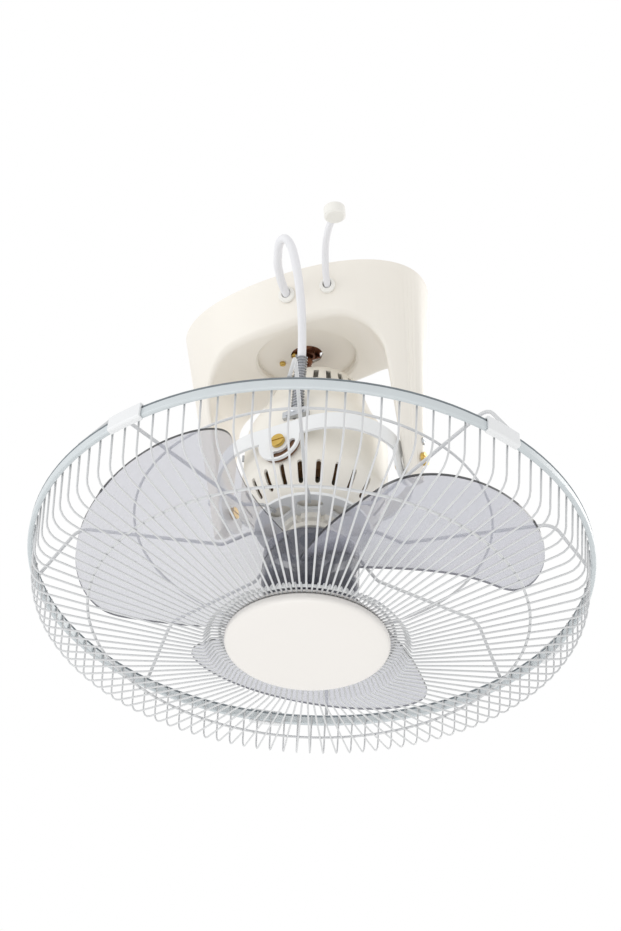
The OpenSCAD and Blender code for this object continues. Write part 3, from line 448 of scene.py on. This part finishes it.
# Middle lines in mm, point by point as in the part's source
FLEX_ROUTE = [
    (12, -40.12, -22.2), (12.1, -50, -22), (13.5, -64.6, -20), (14.5, -73, -17.8),
    (16.4, -82, -15.4), (19, -90, -13.4), (22, -98, -11.4), (26, -105, -9.6),
    (30, -111.6, -8.2), (34, -117, -7.4), (38, -120, -7.6), (41.4, -121, -9.2),
    (43.6, -119.6, -12.4), (44.6, -116.4, -16.8), (44.4, -112, -22), (43, -105.4, -29.4),
    (41, -98.4, -37.4), (38.6, -91.6, -45.6), (36, -85, -53.6), (33, -78.6, -62),
    (29.8, -72.6, -70.6), (26.8, -67.4, -79),
]
SUPPLY_ROUTE = [
    (46, -40.3, -22), (46.9, -49, -22), (50.8, -59.7, -21), (53.6, -68, -18), (57, -76, -14.2),
    (61, -84, -10.8), (65, -91.6, -8.4), (69, -98.6, -7), (73, -104.8, -6.2), (77, -110.4, -5.8),
    (81, -115.4, -5.6), (85, -119.8, -5.6),
]
SPRING_LOW = np.array([12.0, -62.0, 37.0])
SPRING_HIGH = np.array([24.0, -81.0, 81.0])
FLEX_SPLIT = 11
FLEX_DIAMETER, SUPPLY_DIAMETER = 0.0074, 0.006
CORD_STEPS, CORD_SIDES = 5, 16
ACROSS_LOOP = np.array([0.1, 0.45, 0.88])
ACROSS_SUPPLY = np.array([0.0, 0.0, 1.0])
# Shares of the spring's length, from its top, where the flex is led on inside it
TAIL_SHARES = 0.02 + 0.225 * np.arange(6)


def cord_piece(name, path, along, diameter, across, closed=(True, True)):
    """Round jacket along the path."""
    ring = (diameter / 2, CORD_SIDES)
    piece = tubes(name, path[None], across, *ring, "cord_jacket", along[None], closed)
    return piece


tail = leant(SPRING_HIGH + (SPRING_LOW - SPRING_HIGH) * TAIL_SHARES[:, None])
flex = through(np.vstack([np.array(FLEX_ROUTE) * MM, tail]), CORD_STEPS)
flex_along = tangents(flex)
split = FLEX_SPLIT * CORD_STEPS
upper, lower = slice(split + 1), slice(split, None)
loop = (FLEX_DIAMETER, ACROSS_LOOP)
upper_flex = cord_piece("flex_upper", flex[upper], flex_along[upper], *loop, (True, False))
lower_flex = cord_piece("flex_lower", flex[lower], flex_along[lower], *loop, (False, True))
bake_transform(upper_flex)
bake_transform(lower_flex)
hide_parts("flex_loop")
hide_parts("flex_loop")
supply_path = through(np.array(SUPPLY_ROUTE) * MM, CORD_STEPS)
supply_along = tangents(supply_path)
supply = cord_piece("supply_jacket", supply_path, supply_along, SUPPLY_DIAMETER, ACROSS_SUPPLY)
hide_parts("supply_cord")
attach(supply, "canopy")


# Strain relief spring on the motor

SPRING_TURNS, SPRING_STEPS, SPRING_SIDES = 19, 18, 8
COIL_RADIUS, SPRING_WIRE = 4.8, 0.0007
SPRING_FOOT, SPRING_SHORTER = 0.9, 2


def flex_spring():
    """Helix about the line low to high: low + h a + R (cos w e1 + sin w e2), with h rising
    evenly from 0.9 mm over the line's length less 2 mm and R the coil's radius."""
    axis = unit(SPRING_HIGH - SPRING_LOW)
    e1 = unit(np.cross(axis, [0.0, 0.0, 1.0]))
    e2 = np.cross(axis, e1)
    w = np.linspace(0, 2 * math.pi * SPRING_TURNS, SPRING_STEPS * SPRING_TURNS + 1)[:, None]
    rise = SPRING_FOOT + (np.linalg.norm(SPRING_HIGH - SPRING_LOW) - SPRING_SHORTER) * w / w[-1]
    out = np.cos(w) * e1 + np.sin(w) * e2
    path = leant(SPRING_LOW + rise * axis + COIL_RADIUS * out)
    across = unit(leant(out) - SWING_CENTRE)
    ring = (SPRING_WIRE, SPRING_SIDES)
    piece = tubes("spring_coil", path[None], across[None], *ring, "bright_steel")
    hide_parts("flex_spring")
    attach(piece, "head")


flex_spring()


# Guard wires and arms, with radii and heights along the head's axis from the swing centre in mm

FACE_SLOPE = 0.1896
FACE_RADIUS = 82.0
FACE_U = -161.0
LIP_RADIUS = 76.4
LIP_U = FACE_U + 8.2
WIRE_END = 56.5
SIDE_RADIUS = 224.18
SIDE_LEAN = 0.0939
WIRE_TOP = RIM_DROP - 2.6
WIRE_BENDS = [0, 15, 2.5, 2.5, 0]
WIRE_COUNT, WIRE_FIRST = 110, -64
WIRE_RADIUS, WIRE_SIDES = 0.0008, 6
PLATE_FRONT = -45.02
ARM_DROP, ARM_ROOT, ARM_LEAVES = 1.5, 41, 54
ARM_KNEE, ARM_CREST = (75, -58), (200, -39.5)
ARM_END, ARM_OVER_RIM = 226.6, 5.94
ARM_BENDS = [0, 7, 8, 14, 0]
ARM_RADIUS, ARM_SIDES = 0.0015, 14
ARM_COUNT = 8
ARM_AZIMUTHS = 45 * np.arange(ARM_COUNT) + 22.5


def wire_path(steps):
    """Meridian of one front wire: down the leaning side, round the corner, in along the face
    and up the lip. The corner lies d below the swing centre, where side and face meet."""
    level = SIDE_RADIUS + SIDE_LEAN * WIRE_TOP - FACE_RADIUS
    d = (-FACE_U - level * FACE_SLOPE) / (1 - SIDE_LEAN * FACE_SLOPE)
    side = [(SIDE_RADIUS, -WIRE_TOP), (SIDE_RADIUS - SIDE_LEAN * (d - WIRE_TOP), -d)]
    lip = [(FACE_RADIUS, FACE_U), (LIP_RADIUS, LIP_U), (WIRE_END, LIP_U)]
    return rounded(side + lip, WIRE_BENDS, steps)


def front_wires():
    """WIRE_COUNT even copies of the wire's meridian, as round wires."""
    azimuths = WIRE_FIRST + 360 * np.arange(WIRE_COUNT) / WIRE_COUNT
    paths, side = meridian(wire_path(4), azimuths)
    piece = tubes("guard_wires", paths, side, WIRE_RADIUS, WIRE_SIDES, "wire_coat")
    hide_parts("front_wires")
    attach(piece, "head")


def rear_arms():
    """Eight round arms: out from the plate and down to a knee, up along the shallow cone and
    down to the rim."""
    root, end = PLATE_FRONT - ARM_DROP, -(RIM_DROP - ARM_OVER_RIM)
    corners = [(ARM_ROOT, root), (ARM_LEAVES, root), ARM_KNEE, ARM_CREST, (ARM_END, end)]
    paths, side = meridian(rounded(corners, ARM_BENDS, 7), ARM_AZIMUTHS)
    piece = tubes("guard_arms", paths, side, ARM_RADIUS, ARM_SIDES, "wire_coat")
    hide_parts("rear_arms")
    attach(piece, "head")


PLATE_INSIDE, PLATE_OUTSIDE, PLATE_MIDDLE, PLATE_THICK = 17.6, 49.0, -43.52, 0.003
SLOT_RADIUS, SLOT_HALF, SLOT_POWER, SLOT_STEPS = 36.0, (10.6, 5.6), 2.6, 64
# Width, segments and least turn in degrees of the rounded edges
PRESSED_EDGE, BLADE_ROUND = (0.0004, 2, 50), (0.0008, 2, 50)


def guard_plate():
    """Flat ring with eight ovals along the circle of SLOT_RADIUS. In each sector of 45 degrees
    the loop of the oval, x = a c^(2/n), y = b s^(2/n), joins the sector's outline at the same
    angle e, with c = cos e, s = sin e, a and b SLOT_HALF and n SLOT_POWER."""
    e = np.linspace(0, 2 * math.pi, SLOT_STEPS, endpoint=False)
    c, s = np.cos(e), np.sin(e)
    reach = np.maximum(np.abs(c), np.abs(s))
    across, away = c / reach, s / reach
    reach_out = np.where(away > 0, PLATE_OUTSIDE - SLOT_RADIUS, SLOT_RADIUS - PLATE_INSIDE)
    oval_x, oval_y = (
        half * np.sign(v) * np.abs(v) ** (2 / SLOT_POWER) for half, v in zip(SLOT_HALF, (c, s))
    )
    r = SLOT_RADIUS + np.stack([away * reach_out, oval_y])
    az = np.stack([across * math.pi / ARM_COUNT, oval_x / SLOT_RADIUS])
    az = az[None] + np.radians(ARM_AZIMUTHS)[:, None, None]
    flat = np.stack([r * np.cos(az), r * np.sin(az), 0 * az + PLATE_MIDDLE], -1)
    # Points that two sectors share are made one
    flat = flat.reshape(-1, 3).round(4) + 0.0
    points, index = np.unique(flat, axis=0, return_inverse=True)
    ring = grid_faces(2, SLOT_STEPS, True)
    ring = ring[None] + 2 * SLOT_STEPS * np.arange(ARM_COUNT)[:, None, None]
    faces = index.reshape(-1)[ring.reshape(-1, 4)]
    piece = add_piece("plate_pressing", leant(points), faces.tolist(), "strap_paint")
    thicken(piece, PLATE_THICK)
    soften(piece, *PRESSED_EDGE).harden_normals = True
    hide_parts("guard_plate")
    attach(piece, "head")


front_wires()
rear_arms()
guard_plate()


# Blades

BLADE_FRONT = -118.0
BLADE_REAR = -79.0
BLADE_TURNS = (0.0, 120.0, 240.0)
BLADE_THICK = 0.0021
BLADE_ROWS, BLADE_COLUMNS, ROW_POWER = 60, 36, 1.9
HUB_CLEAR, TIP_CLEAR, TIP_REACH = 0.1, 0.02, 41
# Azimuths in degrees from the blade's own line; TRAIL_NARROW and TRAIL_SPAN are radii in mm
BLADE_BACK = 5
LEAD_TIP, LEAD_ADDED, LEAD_POWER = 36, 34, 1.6
TRAIL_LEAST, TRAIL_ADDED, TRAIL_NARROW, TRAIL_SPAN = 33, 8, 75, 90
# Camber as a share of the depth, lift and the reach it fades over in mm
CAMBER, HUB_LIFT, HUB_FADE = 0.09, 14, 50


def blade_points(turned):
    """Skin of one blade. With radius r and chord place s from the front edge (0) to the rear
    (1): azimuth = turned - BLADE_BACK + (lead + (trail - lead) s) fade. lead is - (LEAD_TIP +
    LEAD_ADDED p^LEAD_POWER), with p from 0 at the tip to 1 at the hub, trail is TRAIL_LEAST +
    TRAIL_ADDED ((r - TRAIL_NARROW) / TRAIL_SPAN)^2, and fade = (1 - k^3)^(1/3) closes both
    edges in over TIP_REACH, k from 0 to 1. u = f + (rear - f)(v + CAMBER sin(pi v)), v the
    share of the open chord at that azimuth, f lifting towards the hub by
    HUB_LIFT (1 - (r - HUB_RADIUS) / HUB_FADE)^2."""
    q = np.linspace(0, 1, BLADE_ROWS)[:, None]
    s = np.linspace(0, 1, BLADE_COLUMNS)[None, :]
    inner, outer = HUB_RADIUS + HUB_CLEAR, BLADE_TIP - TIP_CLEAR
    r = inner + (outer - inner) * (1 - (1 - q) ** ROW_POWER)
    fade = (1 - np.clip((r - BLADE_TIP + TIP_REACH) / TIP_REACH, 0, 1) ** 3) ** (1 / 3)
    p = np.clip((BLADE_TIP - r) / (BLADE_TIP - HUB_RADIUS), 0, 1)
    lead = -(LEAD_TIP + LEAD_ADDED * p**LEAD_POWER)
    trail = TRAIL_LEAST + TRAIL_ADDED * ((r - TRAIL_NARROW) / TRAIL_SPAN) ** 2
    across = (lead + (trail - lead) * s) * fade
    az = np.radians(turned - BLADE_BACK + across)
    v = (across - lead) / (trail - lead)
    f = BLADE_FRONT + HUB_LIFT * np.clip(1 - (r - HUB_RADIUS) / HUB_FADE, 0, 1) ** 2
    u = f + (BLADE_REAR - f) * (v + CAMBER * np.sin(np.pi * v))
    return leant(np.stack([r * np.cos(az), r * np.sin(az), u], -1))


def blade(name, node, turned):
    """Clear blade in place of the node, with its rim faces in a near-black finish, a painted dark
    refraction line along its edge.
    """
    faces = grid_faces(BLADE_ROWS, BLADE_COLUMNS, False)
    piece = add_piece(name, blade_points(turned), faces.tolist(), "blade_clear")
    piece.data.materials.append(FINISH["blade_painted_dark_rim"])
    thicken(piece, BLADE_THICK).material_offset_rim = 1
    soften(piece, *BLADE_ROUND).harden_normals = True
    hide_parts(node)
    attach(piece, "rotor")


for letter, blade_turn in zip("abc", BLADE_TURNS):
    blade("blade_skin_" + letter, "blade_" + letter, blade_turn)


# Canopy with its lips rolled over

ARCH_HALF, ARCH_CORNER, DECK_DROP = 86.0, 40.0, 46.7
CANOPY_HALF, CANOPY_DEPTH, LEAN_X, LEAN_Y, LEG_END = 119.0, 70.0, 0.0976, 0.2732, 20.0
OVAL_POWER = 2.2
LIP_ROLL = 6.0
LIP_CUT = 2.4
CUT_PASSES = 6
ON_SKIN = 0.6
MERGE = 0.00001


def mesh_points(mesh):
    """Vertex places of a mesh in millimetres, one row each."""
    points = np.empty(3 * len(mesh.vertices))
    mesh.vertices.foreach_get("co", points)
    return points.reshape(-1, 3) / MM


def tunnel(p):
    """Depth of points in the material from the tunnel between the legs, and the tunnel wall's
    outward normal: flat sides at |x| = 86, quarter rounds of 40 about (46, -86.7), flat deck
    at z = -46.7."""
    x, z = p[:, 0], p[:, 2]
    inside, low = ARCH_HALF - ARCH_CORNER, -DECK_DROP - ARCH_CORNER
    dx, dz = np.abs(x) - inside, z - low
    side, deck = dz < 0, (dz >= 0) & (dx < 0)
    reach = np.maximum(np.hypot(dx, dz), 1e-6)
    above = np.where(deck, z + DECK_DROP, reach - ARCH_CORNER)
    depth = np.where(side, np.abs(x) - ARCH_HALF, above)
    nx = np.where(side, 1.0, np.where(deck, 0.0, dx / reach)) * np.sign(x)
    nz = np.where(side, 0.0, np.where(deck, 1.0, dz / reach))
    return depth, -np.stack([nx, 0 * nx, nz], 1)


def outside(p):
    """Depth of points from the outer skin and its outward normal: f = |x/a|^2.2 + |y/b|^2.2
    with a, b leaning in with z, depth (1 - f) / |grad f|; below the swing axis the leg ends
    are round about it."""
    x, y, z = p.T
    a, b = CANOPY_HALF + LEAN_X * z, CANOPY_DEPTH + LEAN_Y * z
    fx, fy = np.abs(x / a) ** OVAL_POWER, np.abs(y / b) ** OVAL_POWER
    gx = OVAL_POWER * np.divide(fx, x, out=np.zeros_like(x), where=np.abs(x) > 1e-6)
    gy = OVAL_POWER * np.divide(fy, y, out=np.zeros_like(y), where=np.abs(y) > 1e-6)
    gz = -OVAL_POWER * (fx * LEAN_X / a + fy * LEAN_Y / b)
    slope = np.stack([gx, gy, gz], 1)
    steep = np.linalg.norm(slope, axis=1)
    depth, normal = (1 - fx - fy) / steep, slope / steep[:, None]
    drop = z + PIVOT_DROP
    reach = np.maximum(np.hypot(y, drop), 1e-6)
    ended = (drop < 0) & (LEG_END - reach < depth)
    round_end = np.stack([0 * x, y / reach, drop / reach], 1)
    return np.where(ended, LEG_END - reach, depth), np.where(ended[:, None], round_end, normal)


def cut_band(mesh):
    """Split the edges near the lip that are longer than LIP_CUT, until none is or CUT_PASSES
    are done."""
    for _ in range(CUT_PASSES):
        work = bmesh.new()
        work.from_mesh(mesh)
        points = mesh_points(mesh)
        ends = np.empty(2 * len(mesh.edges), int)
        mesh.edges.foreach_get("vertices", ends)
        ends = points[ends.reshape(-1, 2)]
        length = np.linalg.norm(ends[:, 0] - ends[:, 1], axis=1)
        near = np.full(len(ends), np.inf)
        for t in (0.0, 0.25, 0.5, 0.75, 1.0):
            q = ends[:, 0] * (1 - t) + ends[:, 1] * t
            first, second = np.abs(tunnel(q)[0]), np.abs(outside(q)[0])
            on_either = np.minimum(first, second) < ON_SKIN
            near = np.minimum(near, np.where(on_either, np.maximum(first, second), np.inf))
        chosen = (length > LIP_CUT) & (near < LIP_ROLL)
        edges = np.array(work.edges[:], dtype=object)[chosen].tolist()
        if edges:
            bmesh.ops.subdivide_edges(work, edges=edges, cuts=1)
            bmesh.ops.triangulate(work, faces=work.faces[:])
            work.to_mesh(mesh)
        work.free()
        if not edges:
            break


def roll_lips(mesh):
    """Moves the skin points within R = LIP_ROLL of the lip on to a round: with
    w = 45 deg (1 - t / R), a point at depth t from the other wall goes to depth R (1 - cos w)
    under its own and R (1 - sin w) from the other. Gives back each point's outward normal,
    cos w own + sin w other, and which points lie on skin or wall."""
    p = mesh_points(mesh)
    under_tunnel, n_tunnel = tunnel(p)
    under_skin, n_skin = outside(p)
    on_skin = (np.abs(under_skin) < ON_SKIN) & (np.abs(under_skin) <= np.abs(under_tunnel))
    on_wall = (np.abs(under_tunnel) < ON_SKIN) & ~on_skin
    t = np.clip(np.where(on_skin, under_tunnel, under_skin), 0, LIP_ROLL)
    w = math.pi / 4 * (1 - t / LIP_ROLL)
    own, other = LIP_ROLL * (1 - np.cos(w)), LIP_ROLL * (1 - np.sin(w)) - t
    n_own = np.where(on_skin[:, None], n_skin, n_tunnel)
    n_other = np.where(on_skin[:, None], n_tunnel, n_skin)
    c = (n_own * n_other).sum(1)
    along_own = (own - c * other) / (1 - c**2)
    along_other = (other - c * own) / (1 - c**2)
    moved = p - along_own[:, None] * n_own - along_other[:, None] * n_other
    known = (on_skin | on_wall) & (np.where(on_skin, under_tunnel, under_skin) > -ON_SKIN)
    rolled = known & (t < LIP_ROLL)
    mesh.vertices.foreach_set("co", (np.where(rolled[:, None], moved, p) * MM).ravel())
    mesh.update()
    return unit(np.cos(w)[:, None] * n_own + np.sin(w)[:, None] * n_other), known


SHARP_TURN, NORMAL_REACH = math.cos(math.radians(35)), math.cos(math.radians(30))


def even_normals(mesh, normals, known):
    """Corner normals: the given one on known points where it lies within 30 degrees of the
    face, else the mesh's own, parted at edges where the faces turn by more than 35 degrees."""
    mesh.polygons.foreach_set("use_smooth", [True] * len(mesh.polygons))
    count = len(mesh.loops)
    corner, side = np.empty(count, int), np.empty(count, int)
    mesh.loops.foreach_get("vertex_index", corner)
    mesh.loops.foreach_get("edge_index", side)
    flat = np.empty(3 * len(mesh.polygons))
    mesh.polygons.foreach_get("normal", flat)
    sides = np.empty(len(mesh.polygons), int)
    mesh.polygons.foreach_get("loop_total", sides)
    flat = np.repeat(flat.reshape(-1, 3), sides, axis=0)
    order = np.argsort(side, kind="stable")
    pair = side[order][:-1] == side[order][1:]
    turned = (flat[order][:-1] * flat[order][1:]).sum(1) < SHARP_TURN
    sharp = np.zeros(len(mesh.edges), bool)
    sharp[side[order][:-1][pair & turned]] = True
    mesh.attributes.new("sharp_edge", "BOOLEAN", "EDGE").data.foreach_set("value", sharp)
    mesh.update()
    own = np.empty(3 * count)
    mesh.corner_normals.foreach_get("vector", own)
    wanted = normals[corner]
    use = known[corner] & ((wanted * flat).sum(1) > NORMAL_REACH)
    mesh.normals_split_custom_set(np.where(use[:, None], wanted, own.reshape(-1, 3)).tolist())


def canopy_body():
    """A copy of the CAD shell, merged, cut finely along the lips between tunnel and outside,
    and rolled over there."""
    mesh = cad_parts["canopy_shell"].data.copy()
    mesh.name = "canopy_body"
    work = bmesh.new()
    work.from_mesh(mesh)
    bmesh.ops.remove_doubles(work, verts=work.verts, dist=MERGE)
    work.to_mesh(mesh)
    work.free()
    cut_band(mesh)
    even_normals(mesh, *roll_lips(mesh))
    mesh.materials.clear()
    mesh.materials.append(FINISH["canopy_paint"])
    piece = link("canopy_body", mesh)
    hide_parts("canopy_shell")
    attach(piece, "canopy")


canopy_body()


# Carried-over CAD nodes

NODE_FINISH = {
    "canopy_paint": ["canopy_shell"],
    "motor_paint": ["motor_front_cover", "motor_rear_cover", "guard_nut"],
    "cap_plastic": ["centre_cap", "cap_retainer"],
    "strap_paint": ["gimbal_strap", "guard_plate"],
    "wire_coat": ["rear_ring", "front_rings", "rear_arms", "front_wires"],
    "clip_coat": ["guard_clips"],
    "rim_coat": ["front_rim"],
    # Rear rim in the darker copy of the rim coat, a painted dark sheen line
    "rim_edge": ["rear_rim"],
    "zinc_steel": [
        "mounting_plate", "yoke_frame", "leg_screws", "cover_screws", "spring_clamp",
        "clamp_screws", "cap_screw",
    ],
    "bright_steel": [
        "front_bearing", "flex_spring", "rotor_shaft", "drive_pin", "cross_shaft", "idler_shaft",
    ],
    "brass_plate": ["socket_screws", "swing_bolt_left", "swing_bolt_right", "tilt_screws"],
    "copper_plate": ["crank_socket", "crank_arm"],
    "winding_copper": ["stator_windings"],
    "lamination": ["stator_core", "rotor_core"],
    "cast_alloy": ["gear_plate", "gear_bridge"],
    "gear_nylon": ["cross_wheel", "idler_wheel", "crank_gear"],
    "white_plastic": [
        "flex_grommet", "supply_grommet", "leg_washers", "terminal_block", "run_capacitor",
        "ceiling_fitting",
    ],
    "cord_jacket": ["flex_loop", "supply_cord"],
    "buffer_rubber": ["rubber_buffers"],
    "smoke_clear": ["blade_hub"],
    "blade_clear": ["blade_a", "blade_b", "blade_c"],
    "dark_plastic": ["spinner_nut"],
}
# Width of the rounded edges in mm
EDGE_WIDTH = {
    0.2: ["clamp_screws"],
    0.25: ["socket_screws", "cover_screws"],
    0.3: [
        "centre_cap", "rear_rim", "front_rim", "yoke_frame", "swing_bolt_left",
        "swing_bolt_right", "leg_screws", "cap_retainer",
    ],
    0.35: ["tilt_screws"],
    0.4: [
        "gimbal_strap", "crank_socket", "flex_grommet", "supply_grommet", "spring_clamp",
        "blade_hub", "leg_washers",
    ],
    0.5: [
        "motor_front_cover", "motor_rear_cover", "guard_nut", "guard_plate", "guard_clips",
        "ceiling_fitting", "spinner_nut",
    ],
    0.6: ["crank_arm"],
    1.2: ["canopy_shell"],
}
SOFT_EDGE = {node: width for width, nodes in EDGE_WIDTH.items() for node in nodes}
# Turns in degrees: facets to merge, edges to round, edges to part
FLAT_TURN, ROUND_TURN, PART_TURN = 0.6, 38, 35
ROUND_SEGMENTS, EVEN_WEIGHT = 3, 60


def dress_node(node, material):
    """Finish and soft edges on a CAD node whose mesh stays as it is."""
    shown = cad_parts[node]
    shown.data.materials.clear()
    shown.data.materials.append(FINISH[material])
    shown.data.polygons.foreach_set("use_smooth", [True] * len(shown.data.polygons))
    weld = shown.modifiers.new("weld", "WELD")
    weld.merge_threshold = MERGE
    flat = shown.modifiers.new("flat", "DECIMATE")
    flat.decimate_type = "DISSOLVE"
    flat.angle_limit = math.radians(FLAT_TURN)
    if node in SOFT_EDGE:
        soften(shown, SOFT_EDGE[node] * MM, ROUND_SEGMENTS, ROUND_TURN)
    else:
        split = shown.modifiers.new("split", "EDGE_SPLIT")
        split.split_angle = math.radians(PART_TURN)
    even = shown.modifiers.new("even", "WEIGHTED_NORMAL")
    even.weight = EVEN_WEIGHT


for finish_name, finish_nodes in NODE_FINISH.items():
    for finish_node in finish_nodes:
        dress_node(finish_node, finish_name)


# Room: white surround, pale floor far below the hanging fan, soft lamps

WHITE = (1.0, 1.0, 1.0, 1.0)
SEEN_LIFT, SOFT_FILL = 0.1, 0.9
FLOOR_HALF, FLOOR_Z = 4.0, -2.4


def surround():
    """White world at full strength where it is seen and a little less as light."""
    world = bpy.data.worlds.new("surround")
    bpy.context.scene.world = world
    world.use_nodes = True
    tree = world.node_tree
    sky = tree.nodes["Background"]
    sky.inputs["Color"].default_value = WHITE
    ray = tree.nodes.new("ShaderNodeLightPath")
    seen = maths(tree, "MAXIMUM", ray.outputs["Is Camera Ray"], ray.outputs["Is Glossy Ray"])
    seen = maths(tree, "MAXIMUM", seen, ray.outputs["Is Transmission Ray"])
    strength = maths(tree, "MULTIPLY_ADD", seen, SEEN_LIFT, SOFT_FILL)
    tree.links.new(strength, sky.inputs["Strength"])


def floor():
    """Pale square 2 m under the guard."""
    signs = ((-1, -1), (1, -1), (1, 1), (-1, 1))
    corners = [(x * FLOOR_HALF, y * FLOOR_HALF, FLOOR_Z) for x, y in signs]
    mesh = bpy.data.meshes.new("floor")
    mesh.from_pydata(corners, [], [(0, 1, 2, 3)])
    plane = link("floor", mesh)
    numbers = (0.4, 60.0, 0.9, 0.05, 0.02)
    paper = finish("floor_paper", SKIN, (0.95, 0.95, 0.945), (0.93, 0.93, 0.925), numbers)
    mesh.materials.append(paper)


def lamp(name, at, aim, size, watts, tone=WHITE[:3]):
    """Square soft lamp at the place, facing aim."""
    data = bpy.data.lights.new(name, "AREA")
    data.shape = "SQUARE"
    data.size = size
    data.energy = watts
    data.color = tone
    toward = Vector(aim) - Vector(at)
    faced = toward.to_track_quat("-Z", "Y").to_matrix().to_4x4()
    link(name, data).matrix_world = Matrix.Translation(at) @ faced


surround()
floor()
lamp("key", (-1.3, -1.6, 0.3), (0, 0, -0.2), 1.2, 8.0, (0.97, 0.985, 1.0))
lamp("under", (-0.1, -0.5, -2.3), (0, 0, -0.2), 1.6, 14.0)
lamp("back", (0.8, 1.6, 0.4), (0, 0, -0.25), 1.2, 8.0, (1.0, 0.975, 0.94))

bpy.context.scene.view_settings.view_transform = "Standard"
